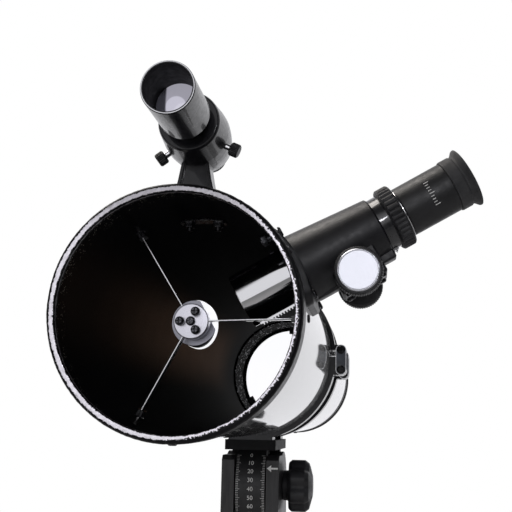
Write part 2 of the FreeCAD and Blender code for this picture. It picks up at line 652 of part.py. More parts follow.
def build_primary():
    cell = turned("Y", [
        ("cell_inner_radius", "cell_front"), ("tube_radius - tube_wall", "cell_front"),
        ("tube_radius - tube_wall", "cell_back"), ("20", "cell_back"), ("20", "cell_plate"),
        ("cell_inner_radius", "cell_plate")])
    bolt = pocket(cell, "XZ", [("0", "collimation_circle", "collimation_bolt + running_gap")],
                  "cell_plate", "cell_back")
    pattern(cell, bolt, "PolarPattern", 3, "Y", 360)
    lock = pocket(cell, "XZ", [("0", "-collimation_circle", "2")], "cell_plate", "cell_back")
    pattern(cell, lock, "PolarPattern", 3, "Y", 360)
    node("mirror_cell", "tube", cut(cell, *end_screw_holes(REAR_SCREW_STATION)))

    support = turned("Y", rectangle("0", "support_radius", "support_front", "support_back"))
    bore = pocket(support, "XZ", [("0", "collimation_circle", "collimation_bolt + running_gap")],
                  "support_front", "support_back")
    pattern(support, bore, "PolarPattern", 3, "Y", 360)
    rest = pad(support, "XZ", [("0", "-40", "8")], "mirror_front + mirror_thickness", "support_front")
    pattern(support, rest, "PolarPattern", 3, "Y", 360)
    node("mirror_support", "tube", support)

    back = "mirror_front + mirror_thickness"
    dish = []
    for step in range(MIRROR_STEPS + 1):
        radius = f"mirror_radius * {step} / {MIRROR_STEPS}"
        dish.append((radius, f"mirror_front - ({radius}) * ({radius}) / (2 * mirror_curvature)"))
    node("primary_mirror", "tube", turned("Y", dish + [("mirror_radius", back), ("0", back)]))

    clip = fuse(box(("60", "mirror_front - 3.5", "-6"), ("68.4", "mirror_front - 1.5", "6")),
                box(("mirror_radius + 0.4", "mirror_front - 1.5", "-6"), ("68.4", "support_front", "6")))
    node("mirror_clips", "tube", group(*spread(clip, ALONG, ("30", "150", "270"))))

    spring = turned("Y", rectangle("3.3", "4.6", "support_back", "cell_plate"))
    spring = copied(spring, at=("0", "0", "collimation_circle"))
    node("cell_springs", "tube", group(*spread(spring, ALONG, THIRDS)))

    for number, angle in enumerate(THIRDS, 1):
        knob = turned("Y", [
            ("0", "support_front + 2"), ("collimation_bolt", "support_front + 2"),
            ("collimation_bolt", "cell_back + 2"), ("7.5", "cell_back + 2"),
            ("collimation_knob_radius", "cell_back + 4"), ("collimation_knob_radius", "tube_length + 5"),
            ("7.5", "tube_length + 7"), ("0", "tube_length + 7")])
        grip = pocket(knob, "XZ", [("0", "10.4", "2.4")], "cell_back + 2", "tube_length + 7")
        pattern(knob, grip, "PolarPattern", 10, "Y", 360)
        knob = copied(knob, at=("0", "0", "collimation_circle"))
        node(f"collimation_knob_{number}", "tube", group(copied(knob, axis=ALONG, angle=angle)))

    lock = turned("Y", [("0", "support_back"), ("2", "support_back"), ("2", "cell_back"),
                        ("4", "cell_back"), ("4", "cell_back + 2"), ("3", "cell_back + 3.4"),
                        ("0", "cell_back + 3.4")])
    lock = copied(lock, at=("0", "0", "-collimation_circle"))
    node("lock_screws", "tube", group(*spread(lock, ALONG, THIRDS)))


# ---------------------------------------------------------------- focuser

TOOTH_PITCH = "(2 * 3.14159265 * pinion_pitch / 12)"
RACK_TEETH = 48
TEETH_BELOW = 32
TOOTH_HALF_ROOT = "0.55"
TOOTH_HALF_TIP = "0.25"
ADDENDUM = "0.5"
DEDENDUM = "0.75"


def build_focuser():
    saddle = cylinder("Y", ("0", "-60", "0"), "tube_radius", "120")
    flange = common(cylinder("Y", ("0", "-34", "0"), "flange_radius", "68"),
                    box(("-29", "-34", "50"), ("29", "34", "80")))
    housing = box(("10", "-housing_half_width", "housing_low"),
                  ("pinion_drop", "housing_half_width", "housing_high"))
    rib = box(("12", "-6.5", "58"), ("pinion_drop", "6.5", "focuser_top"))
    tapered = cone(("0", "0", "focuser_foot"), "focuser_foot_radius", "focuser_top_radius",
                   "focuser_top - focuser_foot")
    shaft = cylinder("Y", ("pinion_drop", "-20", "pinion_reach"), "shaft_radius + running_gap", "40")
    gear_room = cylinder("Y", ("pinion_drop", "-3.6", "pinion_reach"), "5.2", "7.2")
    cover_screws = [cylinder("X", ("19.3", y, z), "1.6", "10.7")
                    for y in ("-12", "12") for z in ("housing_low + 4.5", "housing_high - 4.5")]
    tools = [saddle, shaft, gear_room, *cover_screws,
             cylinder("Z", ("0", "0", "40"), "drawtube_radius + running_gap", "100"),
             box(("15", "-3.6", "40"), ("21.2", "3.6", "140"))]
    tools += [cylinder("Z", (x, y, "60"), "2", "20") for x, y in FOCUSER_BOLTS]
    node("focuser_body", "focuser", cut(fuse(flange, tapered, housing, rib), *tools))

    cover = box(("pinion_drop", "-housing_half_width", "housing_low"),
                ("pinion_drop + 6.3", "housing_half_width", "housing_high"))
    node("pinion_cover", "focuser", cut(cover, shaft, gear_room, *cover_screws))

    bolts = []
    for x, y in FOCUSER_BOLTS:
        bolts.append(fuse(cylinder("Z", (x, y, "61"), "2", "15"), cylinder("Z", (x, y, "74.9"), "4", "2.6"),
                          cylinder("Z", (x, y, "61.7"), "3.8", "3.6")))
    for y in ("-12", "12"):
        for z in ("housing_low + 4.5", "housing_high - 4.5"):
            bolts.append(fuse(cylinder("X", ("19.3", y, z), "1.6", "11.5"),
                              cylinder("X", ("pinion_drop + 6.3", y, z), "3", "1.8")))
    node("focuser_bolts", "focuser", group(*bolts))

    bore = "barrel_radius + running_gap"
    tube = turned("Z", rectangle(bore, "drawtube_radius", "drawtube_inner", "drawtube_outer"))
    root = f"rack_line - {DEDENDUM}"
    rail = rectangle("drawtube_radius - 1", root, "drawtube_inner + 4", "clamp_low - 3")
    pad(tube, "XZ", [rail], "-3", "3")
    first = f"(pinion_reach - {TOOTH_PITCH} * ({TEETH_BELOW} + 0.5))"
    tooth = pad(tube, "XZ", [[(root + " - 0.1", f"{first} - {TOOTH_HALF_ROOT}"),
                              (f"rack_line + {ADDENDUM}", f"{first} - {TOOTH_HALF_TIP}"),
                              (f"rack_line + {ADDENDUM}", f"{first} + {TOOTH_HALF_TIP}"),
                              (root + " - 0.1", f"{first} + {TOOTH_HALF_ROOT}")]], "-3", "3")
    pattern(tube, tooth, "LinearPattern", RACK_TEETH, "Z", f"{TOOTH_PITCH} * ({RACK_TEETH} - 1)")
    node("drawtube", "focuser", tube)

    outside = "drawtube_radius + running_gap"
    node("eyepiece_clamp", "focuser", turned("Z", [
        (outside, "clamp_low"), ("clamp_radius - 0.8", "clamp_low"), ("clamp_radius", "clamp_low + 0.8"),
        ("clamp_radius", "clamp_top - 0.8"), ("clamp_radius - 0.8", "clamp_top"), (bore, "clamp_top"),
        (bore, "drawtube_outer + 0.1"), (outside, "drawtube_outer + 0.1")]))


def build_pinion():
    root = f"pinion_pitch - {DEDENDUM}"
    shaft = prism("XZ", [("0", "0", "shaft_radius")], "-34", "34")
    pad(shaft, "XZ", [("0", "0", root)], "-3", "3")
    tooth = pad(shaft, "XZ", [[(f"-({root}) + 0.3", f"-{TOOTH_HALF_ROOT}"),
                               (f"-(pinion_pitch + {ADDENDUM})", f"-{TOOTH_HALF_TIP}"),
                               (f"-(pinion_pitch + {ADDENDUM})", TOOTH_HALF_TIP),
                               (f"-({root}) + 0.3", TOOTH_HALF_ROOT)]], "-3", "3")
    pattern(shaft, tooth, "PolarPattern", 12, "Y", 360)
    node("pinion_shaft", "pinion", shaft)

    knobs, caps = [], []
    for sign in ("", "-"):
        knobs.append(turned("Y", [
            ("shaft_radius", f"{sign}knob_inner"), ("knob_radius - 1.5", f"{sign}knob_inner"),
            ("knob_radius", f"{sign}(knob_inner + 1.5)"), ("knob_radius", f"{sign}(knob_outer - 1.5)"),
            ("knob_radius - 1", f"{sign}knob_outer"), ("0", f"{sign}knob_outer"), ("0", f"{sign}34"),
            ("shaft_radius", f"{sign}34")]))
        caps.append(turned("Y", [
            ("0", f"{sign}knob_outer"), ("cap_radius", f"{sign}knob_outer"),
            ("cap_radius", f"{sign}(knob_outer + 1)"), ("cap_radius - 0.8", f"{sign}(knob_outer + 2)"),
            ("0", f"{sign}(knob_outer + 2)")]))
    node("focus_knobs", "pinion", group(*knobs))
    node("knob_caps", "pinion", group(*caps))


def build_eyepiece():
    end = "eyepiece_seat - 29.8"
    node("eyepiece_barrel", "focuser", turned("Z", [
        ("14.4", end), ("barrel_radius - 0.5", end), ("barrel_radius", end + " + 0.5"),
        ("barrel_radius", "eyepiece_seat"), ("14.4", "eyepiece_seat")]))
    node("eyepiece_body", "focuser", turned("Z", [
        ("13.2", "eyepiece_seat"), ("eyepiece_radius", "eyepiece_seat"), ("eyepiece_radius", "178"),
        ("17.2", "178.6"), ("17.2", "190.6"), ("19.8", "194.8"), ("19.8", "eyepiece_top"),
        ("18.2", "eyepiece_top"), ("14.5", "189.6"), ("9.5", "187.5"), ("9.5", "178.5"), ("13.2", "176.5")]))
    lenses = (turned("Z", [("0", "151"), ("13.2", "152.5"), ("13.2", "155"), ("0", "155")]),
              turned("Z", [("0", "180.2"), ("9.5", "180.2"), ("9.5", "184.2"), ("0", "186")]))
    node("eyepiece_lenses", "focuser", group(*lenses))


# ---------------------------------------------------------------- finder

FINDER_SCREWS = {"left": "216", "right": "336", "top": "96"}


def build_finder():
    node("finder_tube", "finder", turned("Y", [
        ("13.9", "finder_front"), ("shield_radius - 0.5", "finder_front"),
        ("shield_radius", "finder_front + 0.5"), ("shield_radius", "7"), ("finder_radius", "14"),
        ("finder_radius", "finder_rear"), ("9", "finder_rear"), ("9", "finder_rear + 9"),
        ("7.8", "finder_rear + 9"), ("7.8", "finder_rear - 5"), ("10.2", "finder_rear - 9"),
        ("10.2", "2"), ("12.6", "-4"), ("13.9", "-4")]))
    node("finder_objective", "finder", turned("Y", [
        ("0", "-9.5"), ("6.9", "-9"), ("13.9", "-7.5"), ("13.9", "-4"), ("0", "-4")]))
    node("finder_eyepiece", "finder", turned("Y", [
        ("9 + running_gap", "finder_rear + 0.1"), ("11.5", "finder_rear + 0.1"),
        ("12.5", "finder_rear + 1.5"), ("12.5", "finder_rear + 21"), ("11.5", "finder_rear + 23"),
        ("6", "finder_rear + 23"),
        ("4.5", "finder_rear + 18"), ("0", "finder_rear + 18"), ("0", "finder_rear + 10"),
        ("9 + running_gap", "finder_rear + 10")]))

    cup = turned("Y", [
        ("finder_radius", "bracket_front"), ("18.8", "bracket_front"), ("21.2", "49"),
        ("20.2", "bracket_rear"), ("17", "bracket_rear"), ("17", "50"), ("15", "24"),
        ("finder_radius", "24")])
    floor = "-finder_height"
    stalk = prism("XZ", [[("-8.5", "-17"), ("8.5", "-17"), ("14", "-44.5"), ("-14", "-44.5")]], "44", "60")
    foot = common(cylinder("Y", ("0", "44", floor), "flange_radius - 0.5", "48"),
                  box(("-17", "44", "-60"), ("17", "92", "-40")))
    tools = [cylinder("Y", ("0", "30", floor), "tube_radius", "80")]
    tools += [cylinder("Z", (x, "finder_foot_station + finder_lead", "-60"), "2", "30") for x in FINDER_BOLTS]
    tools += [radial(angle, "finder_screw_station", "10", "2 + running_gap", "15")
              for angle in FINDER_SCREWS.values()]
    node("finder_bracket", "finder", cut(fuse(cup, stalk, foot), *tools))

    for side, angle in FINDER_SCREWS.items():
        screw = fuse(radial(angle, "finder_screw_station", "finder_radius + 0.05", "2", "14.5"),
                     radial(angle, "finder_screw_station", "24", "4.4", "6"))
        node(f"finder_screw_{side}", "finder", screw)


for build in (build_base, build_fork, build_altitude_axle, build_cradle, build_tube_rings, build_tube,
              build_secondary, build_primary, build_focuser, build_pinion, build_eyepiece, build_finder):
    build()
doc.recompute()

# ---------------------------------------------------------------- check and write

for item in doc.Objects:
    faults = {"Invalid", "Error"} & set(item.State)
    if faults:
        raise RuntimeError(f"{item.Label}: {sorted(faults)}")

os.makedirs("parts", exist_ok=True)
for thing in nodes:
    if thing.Shape.isNull() or not thing.Shape.isValid() or not thing.Shape.Solids:
        raise RuntimeError(f"{thing.Label}: no valid solid")
    thing.Shape.exportStep(f"parts/{thing.Label}.step")
print(len(nodes), "nodes written")
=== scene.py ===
import bmesh
import bpy
import json
import math
from mathutils import Matrix, Vector, noise

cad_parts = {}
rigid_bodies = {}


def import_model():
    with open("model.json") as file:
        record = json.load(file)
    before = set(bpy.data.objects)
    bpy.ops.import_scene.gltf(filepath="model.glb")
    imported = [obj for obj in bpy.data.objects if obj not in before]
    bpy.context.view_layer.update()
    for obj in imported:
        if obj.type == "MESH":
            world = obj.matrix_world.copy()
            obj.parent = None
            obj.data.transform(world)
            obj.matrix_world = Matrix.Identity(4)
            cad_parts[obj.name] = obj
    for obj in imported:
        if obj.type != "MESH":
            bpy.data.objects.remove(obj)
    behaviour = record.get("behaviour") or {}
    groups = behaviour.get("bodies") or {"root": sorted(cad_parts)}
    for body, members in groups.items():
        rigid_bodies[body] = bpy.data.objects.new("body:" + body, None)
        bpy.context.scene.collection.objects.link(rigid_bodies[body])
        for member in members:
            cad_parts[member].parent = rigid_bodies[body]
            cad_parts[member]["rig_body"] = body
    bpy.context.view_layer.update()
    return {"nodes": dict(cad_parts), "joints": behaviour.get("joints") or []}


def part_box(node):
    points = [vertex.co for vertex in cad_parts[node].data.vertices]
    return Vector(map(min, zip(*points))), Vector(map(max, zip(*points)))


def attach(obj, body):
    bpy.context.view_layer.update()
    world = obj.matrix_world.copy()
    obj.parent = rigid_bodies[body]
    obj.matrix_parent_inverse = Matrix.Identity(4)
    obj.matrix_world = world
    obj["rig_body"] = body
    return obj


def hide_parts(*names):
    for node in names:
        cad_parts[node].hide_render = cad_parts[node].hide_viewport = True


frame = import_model()

MM = 0.001
joints = {joint["name"]: joint for joint in frame["joints"]}

# ---------------------------------------------------------------- places read from the frame

# Distances along the tube are counted from a plane 36 mm in front of the spider's hub.
FRONT_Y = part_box("spider_hub")[0].y - 36 * MM
tube_low, tube_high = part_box("main_tube")
AXIS_Z = (tube_low.z + tube_high.z) / 2
TUBE_RADIUS = (tube_high.z - tube_low.z) / 2 / MM
PIVOT = Vector(joints["altitude"]["pos_m"])
FOCUS_AXIS = Vector(joints["focus_slide"]["axis"]).normalized()
PINION = Vector(joints["pinion_spin"]["pos_m"])
finder_low, finder_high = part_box("finder_tube")
FINDER_Z = (finder_low.z + finder_high.z) / 2


def station(x, y, z, along=(0, 0, 1), down=(1, 0, 0)):
    """Where a group of parts has its origin: its own Z runs along one axis and its X along another."""
    axis = Vector(along).normalized()
    side = Vector(down).normalized()
    turn = Matrix((side, axis.cross(side), axis)).transposed().to_4x4()
    return Matrix.Translation((x, y, z)) @ turn


# In each of these a lathe's axis is local Z. Along the tube, local X stays the row's X.
ALONG_TUBE = ((0, 1, 0), (1, 0, 0))
TUBE = station(0, FRONT_Y, AXIS_Z, *ALONG_TUBE)
FINDER_Y = finder_low.y + 40 * MM
FINDER = station(0, FINDER_Y, FINDER_Z, *ALONG_TUBE)
PINION_AT = station(*PINION, *ALONG_TUBE)
FOCUS_DOWN = Vector((FOCUS_AXIS.z, 0, -FOCUS_AXIS.x))
FOCUSER = station(0, PINION.y, AXIS_Z, FOCUS_AXIS, FOCUS_DOWN)
# The drawtube stands one rack tooth further in than its own drawing.
SLID = FOCUSER @ Matrix.Translation((0, 0, -2.042 * MM))

# ---------------------------------------------------------------- mesh tools


def finish_mesh(name, bm, materials, smooth_angle=38):
    bmesh.ops.recalc_face_normals(bm, faces=bm.faces)
    mesh = bpy.data.meshes.new(name)
    bm.to_mesh(mesh)
    bm.free()
    for material in materials if isinstance(materials, (list, tuple)) else [materials]:
        mesh.materials.append(material)
    mesh.polygons.foreach_set("use_smooth", [True] * len(mesh.polygons))
    mesh.set_sharp_from_angle(angle=math.radians(smooth_angle))
    piece = bpy.data.objects.new(name, mesh)
    bpy.context.scene.collection.objects.link(piece)
    return piece


def place(piece, body, slot, *replaced):
    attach(piece, body)
    if replaced:
        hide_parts(*replaced)
    return piece


def fillet(corners, steps=5):
    """Points of a profile whose corners (radius, height, fillet) are rounded by arcs."""
    count = len(corners)
    points = []
    for index, corner in enumerate(corners):
        here = Vector(corner[:2])
        size = corner[2] if len(corner) > 2 else 0
        if not size:
            points.append(here)
            continue
        before = Vector(corners[index - 1][:2]) - here
        after = Vector(corners[(index + 1) % count][:2]) - here
        half = before.angle(after) / 2
        reach = min(size / math.tan(half), before.length * 0.49, after.length * 0.49)
        size = reach * math.tan(half)
        centre = here + (before.normalized() + after.normalized()).normalized() * size / math.sin(half)
        start = here + before.normalized() * reach - centre
        end = here + after.normalized() * reach - centre
        sweep = start.angle_signed(end)
        for step in range(steps + 1):
            turn = Matrix.Rotation(-sweep * step / steps, 2)
            points.append(centre + turn @ start)
    return points


def lathe(bm, points, at, segments=128, closed=True, shape=None):
    """Turn a profile about local Z. shape(angle, radius, height) may give another radius."""
    rows = []
    for point in points:
        if abs(point[0]) < 1e-6:
            rows.append([bm.verts.new(at @ (Vector((0, 0, point[1])) * MM))] * segments)
            continue
        row = []
        for step in range(segments):
            angle = 2 * math.pi * step / segments
            radius = shape(angle, point[0], point[1]) if shape else point[0]
            local = Vector((radius * math.cos(angle), radius * math.sin(angle), point[1]))
            row.append(bm.verts.new(at @ (local * MM)))
        rows.append(row)
    pairs = list(zip(rows, rows[1:]))
    if closed:
        pairs.append((rows[-1], rows[0]))
    for low, high in pairs:
        for step in range(segments):
            after = (step + 1) % segments
            corners = []
            for vertex in (low[step], low[after], high[after], high[step]):
                if vertex not in corners:
                    corners.append(vertex)
            if len(corners) > 2:
                bm.faces.new(corners)
    return rows


def ribs(count, depth, low, high, sharp=1.0):
    """A radius rule with ribs between two heights, as on a knob's grip."""
    def shape(angle, radius, height):
        inside = min(height - low, high - height)
        if inside <= 0:
            return radius
        wave = 0.5 + 0.5 * math.cos(count * angle)
        return radius - depth * min(1, inside / 0.6) * (1 - wave ** sharp)
    return shape


def only_beyond(limit, rule):
    """A radius rule that leaves everything nearer the axis alone."""
    def shape(angle, radius, height):
        return rule(angle, radius, height) if radius > limit else radius
    return shape


def brick(bm, low, high, at, bevel=0.0, segments=3):
    """A box between two local corners in millimetres, with rounded edges."""
    made = bmesh.ops.create_cube(bm, size=1)["verts"]
    middle = (Vector(low) + Vector(high)) / 2
    size = Vector(high) - Vector(low)
    for vertex in made:
        stretched = Vector(a * b for a, b in zip(vertex.co, size))
        vertex.co = at @ ((middle + stretched) * MM)
    if bevel:
        edges = list({edge for vertex in made for edge in vertex.link_edges})
        bmesh.ops.bevel(bm, geom=edges, offset=bevel * MM, segments=segments, affect="EDGES", profile=0.5)


def rod(bm, start, end, radius, at, segments=32, tip=0.3):
    """A round bar between two local points, with small rounded ends."""
    start, end = Vector(start), Vector(end)
    axis = end - start
    turn = axis.to_track_quat("Z", "Y").to_matrix().to_4x4()
    local = at @ Matrix.Translation(start * MM) @ turn
    length = axis.length
    profile = fillet([(0, 0), (radius, 0, tip), (radius, length, tip), (0, length)], 2)
    lathe(bm, profile, local, segments, closed=False)


def turned(name, points, at, material, segments=128, closed=True, shape=None, smooth_angle=38):
    """One turned piece."""
    bm = bmesh.new()
    lathe(bm, points, at, segments, closed, shape)
    return finish_mesh(name, bm, material, smooth_angle)


def bar(name, start, end, radius, at, material, segments=32, tip=0.3):
    """One round bar."""
    bm = bmesh.new()
    rod(bm, start, end, radius, at, segments, tip)
    return finish_mesh(name, bm, material)


def block(name, low, high, at, material, bevel=0.0, segments=3):
    """One box."""
    bm = bmesh.new()
    brick(bm, low, high, at, bevel, segments)
    return finish_mesh(name, bm, material)


def disc_profile(radius, low, high, edge):
    return fillet([(0, low), (radius, low, edge), (radius, high, edge), (0, high)], 4)


def apply_modifiers(piece):
    shown = bpy.context.evaluated_depsgraph_get()
    mesh = bpy.data.meshes.new_from_object(piece.evaluated_get(shown), depsgraph=shown)
    piece.modifiers.clear()
    piece.data = mesh
    return piece


def combine(piece, others, operation):
    """Boolean union or difference with other pieces, which are then removed."""
    for other in others:
        change = piece.modifiers.new("combine", "BOOLEAN")
        change.operation = operation
        change.solver = "EXACT"
        change.object = other
    bpy.context.view_layer.update()
    apply_modifiers(piece)
    for other in others:
        bpy.data.objects.remove(other)
    piece.data.polygons.foreach_set("use_smooth", [True] * len(piece.data.polygons))
    piece.data.set_sharp_from_angle(angle=math.radians(30))
    return piece


def softened(node, slot, materials, width=0.5, segments=2, name=None):
    """A CAD node's shape with its edges rounded off, as casting, moulding and paint leave them."""
    bm = bmesh.new()
    bm.from_mesh(frame["nodes"][node].data)
    bmesh.ops.remove_doubles(bm, verts=bm.verts, dist=2e-6)
    bmesh.ops.dissolve_limit(bm, angle_limit=math.radians(1), verts=bm.verts, edges=bm.edges)
    piece = finish_mesh(name or node + "_finished", bm, materials, 30)
    bevel = piece.modifiers.new("edges", "BEVEL")
    bevel.width = width * MM
    bevel.segments = segments
    bevel.limit_method = "ANGLE"
    bevel.angle_limit = math.radians(32)
    bevel.harden_normals = True
    bpy.context.view_layer.update()
    apply_modifiers(piece)
    return place(piece, frame["nodes"][node]["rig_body"], slot, node)


# ---------------------------------------------------------------- materials


class Surface:
    """A procedural material: a Principled shader and the few nodes that most surfaces share."""

    def __init__(self, name, colour, roughness, metallic=0.0, coat=0.0, coat_roughness=0.05, ior=1.5):
        self.material = bpy.data.materials.new(name)
        self.material.use_nodes = True
        self.tree = self.material.node_tree
        self.shader = self.tree.nodes["Principled BSDF"]
        self.set("Base Color", (*colour, 1))
        self.set("Roughness", roughness)
        self.set("Metallic", metallic)
        self.set("IOR", ior)
        if coat:
            self.set("Coat Weight", coat)
            self.set("Coat Roughness", coat_roughness)
        self.place = self.new("ShaderNodeTexCoord").outputs["Object"]
        self.normal = None

    def new(self, kind, **settings):
        made = self.tree.nodes.new(kind)
        for key, setting in settings.items():
            setattr(made, key, setting)
        return made

    def set(self, socket, setting):
        self.shader.inputs[socket].default_value = setting

    def link(self, start, end):
        self.tree.links.new(start, end)

    def mapped(self, scale=(1, 1, 1), shift=(0, 0, 0), turn=(0, 0, 0)):
        mapping = self.new("ShaderNodeMapping")
        mapping.inputs["Scale"].default_value = scale
        mapping.inputs["Location"].default_value = shift
        mapping.inputs["Rotation"].default_value = turn
        self.link(self.place, mapping.inputs["Vector"])
        return mapping.outputs["Vector"]

    def noise(self, scale, detail=4, roughness=0.55, vector=None):
        texture = self.new("ShaderNodeTexNoise")
        texture.inputs["Scale"].default_value = scale
        texture.inputs["Detail"].default_value = detail
        texture.inputs["Roughness"].default_value = roughness
        self.link(vector or self.place, texture.inputs["Vector"])
        return texture.outputs["Fac"]

    def cells(self, scale, vector=None, feature="F1"):
        texture = self.new("ShaderNodeTexVoronoi", feature=feature)
        texture.inputs["Scale"].default_value = scale
        self.link(vector or self.place, texture.inputs["Vector"])
        return texture.outputs["Distance"]

    def math(self, operation, first, second):
        node = self.new("ShaderNodeMath", operation=operation)
        self.link(first, node.inputs[0])
        self.link(second, node.inputs[1])
        return node.outputs["Value"]

    def ramp(self, value, low, high, start, end):
        ranged = self.new("ShaderNodeMapRange", clamp=True)
        self.link(value, ranged.inputs["Value"])
        for socket, setting in zip(("From Min", "From Max", "To Min", "To Max"), (low, high, start, end)):
            ranged.inputs[socket].default_value = setting
        return ranged.outputs["Result"]

    def smooth(self, value, low, high, start, end):
        result = self.ramp(value, low, high, start, end)
        result.node.interpolation_type = "SMOOTHSTEP"
        return result

    def vary_roughness(self, scale, low, high, vector=None, detail=4):
        self.link(self.ramp(self.noise(scale, detail, vector=vector), 0.3, 0.7, low, high),
                  self.shader.inputs["Roughness"])
        return self

    def blend_colour(self, amount, first, second):
        mix = self.new("ShaderNodeMix", data_type="RGBA")
        mix.inputs[6].default_value = (*first, 1)
        mix.inputs[7].default_value = (*second, 1)
        self.link(amount, mix.inputs[0])
        self.link(mix.outputs[2], self.shader.inputs["Base Color"])

    def vary_colour(self, scale, first, second, vector=None, low=0.35, high=0.65, detail=5):
        amount = self.ramp(self.noise(scale, detail, vector=vector), low, high, 0, 1)
        self.blend_colour(amount, first, second)
        return self

    def glow(self, colour, strength):
        self.set("Emission Color", (*colour, 1))
        self.set("Emission Strength", strength)

    def split(self, vector):
        parts = self.new("ShaderNodeSeparateXYZ")
        self.link(vector, parts.inputs["Vector"])
        return parts.outputs

    def from_axis(self, parts, first, second):
        """A flat vector from two coordinates, and its length."""
        flat = self.new("ShaderNodeCombineXYZ")
        self.link(parts[first], flat.inputs["X"])
        self.link(parts[second], flat.inputs["Y"])
        radius = self.new("ShaderNodeVectorMath", operation="LENGTH")
        self.link(flat.outputs["Vector"], radius.inputs[0])
        return flat.outputs["Vector"], radius.outputs["Value"]

    def bump(self, height, strength, distance, invert=False, coat=False):
        node = self.new("ShaderNodeBump", invert=invert)
        node.inputs["Strength"].default_value = strength
        node.inputs["Distance"].default_value = distance
        self.link(height, node.inputs["Height"])
        if self.normal:
            self.link(self.normal, node.inputs["Normal"])
        self.normal = node.outputs["Normal"]
        self.link(self.normal, self.shader.inputs["Normal"])
        if coat:
            self.link(self.normal, self.shader.inputs["Coat Normal"])
        return self


def plain(name, colour, roughness, tones, rough=None, bump=None, metallic=0.0, extra=()):
    """A surface that varies a little all over.

    tones holds a scale in 1/m and two colours, rough a scale and two roughnesses, and bump a scale, a
    detail, a strength and a distance in metres. extra holds further sockets of the shader.
    """
    s = Surface(name, colour, roughness, metallic)
    for socket, setting in extra:
        s.set(socket, setting)
    s.vary_colour(*tones)
    if rough:
        s.vary_roughness(*rough)
    if bump:
        scale, detail, strength, distance = bump
        s.bump(s.noise(scale, detail), strength, distance)
    return s.material


def gloss_black(name, tint=(0.008, 0.008, 0.010), peel=0.02, coat=1.0, coat_ior=1.5):
    """Sprayed gloss enamel: deep black under a clear coat with faint orange peel and dust."""
    s = Surface(name, tint, 0.32, coat=coat, coat_roughness=0.035)
    s.set("Coat IOR", coat_ior)
    s.set("Specular IOR Level", 0.5 * coat)
    s.vary_colour(90, tint, tuple(c * 1.9 + 0.001 for c in tint))
    s.vary_roughness(420, 0.26, 0.42)
    s.bump(s.noise(260, 2), peel, 0.0006, coat=True)
    return s.material


def cast_texture(name, coat=0.15, shine=0.1):
    """Black hammered enamel on the end rings, with a painted highlight on the mouth's flat rim: a bright
    metal band in the colour stands in for the lamp's highlight there.
    """
    s = Surface(name, (0.009, 0.008, 0.010), 0.4, coat=coat, coat_roughness=0.2)
    s.set("Coat IOR", 1.35)
    s.set("Specular IOR Level", shine)
    s.vary_roughness(700, 0.28, 0.5)
    parts = s.split(s.mapped(shift=(0, -FRONT_Y, -AXIS_Z)))
    flat, radius = s.from_axis(parts, "X", "Z")
    wander = s.ramp(s.noise(420, 5, 0.75), 0.25, 0.75, -0.0008, 0.0008)
    ragged = s.math("ADD", radius, wander)
    # The painted highlight band is narrower towards the lower right and painted dimmer at the top, following
    # where the lamp's highlight falls.
    lean = s.new("ShaderNodeVectorMath", operation="DOT_PRODUCT")
    s.link(flat, lean.inputs[0])
    lean.inputs[1].default_value = (1, -0.4, 0)
    narrow = s.math("MULTIPLY", s.smooth(lean.outputs["Value"], 0.0, 0.06, 0, 0.0013),
                    s.ramp(s.noise(900, 3), 0.3, 0.7, 0.2, 1.8))
    edge = s.math("ADD", ragged, narrow)
    # Painted highlight: the bright metal band sits on the flat front face where the lamp's highlight falls.
    rim = s.math("MULTIPLY", s.ramp(ragged, 0.0688, 0.0690, 0, 1), s.ramp(edge, 0.0712, 0.0714, 1, 0))
    rim = s.math("MULTIPLY", rim, s.smooth(parts["Z"], 0.040, 0.068, 1, 0.62))
    rim = s.math("MULTIPLY", rim, s.ramp(parts["Y"], -0.0182, -0.0178, 1, 0))
    # A broken painted highlight line runs round the inner wall.
    deep = s.math("ADD", parts["Y"], s.ramp(s.noise(600, 3), 0.25, 0.75, -0.0008, 0.0008))
    line = s.math("MULTIPLY", s.ramp(deep, -0.0160, -0.0158, 0, 1), s.ramp(deep, -0.0149, -0.0147, 0.5, 0))
    line = s.math("MULTIPLY", line, s.ramp(radius, 0.0686, 0.0687, 1, 0))
    rim = s.math("MAXIMUM", rim, line)
    s.blend_colour(rim, (0.007, 0.0065, 0.008), (0.97, 0.94, 1.0))
    s.link(rim, s.shader.inputs["Metallic"])
    s.bump(s.cells(420), 0.25, 0.0004, coat=True)
    return s.material


def speckled_black(name):
    """Flat black with moulded pin-point dimples on the mirror cell's sleeve, and painted glints: bright
    specks in the colour where the dimples would catch light.
    """
    s = Surface(name, (0.004, 0.004, 0.004), 0.85)
    s.set("Specular IOR Level", 0.05)
    s.vary_roughness(500, 0.75, 0.95)
    # Painted glints: bright specks blended into the black colour.
    dots = s.ramp(s.cells(240), 0.22, 0.36, 1, 0)
    painted_glints = s.math("MULTIPLY", dots, s.ramp(s.noise(130, 2), 0.47, 0.58, 0, 1))
    s.blend_colour(painted_glints, (0.004, 0.004, 0.004), (0.75, 0.75, 0.78))
    s.bump(s.cells(240), 0.3, 0.0004)
    return s.material


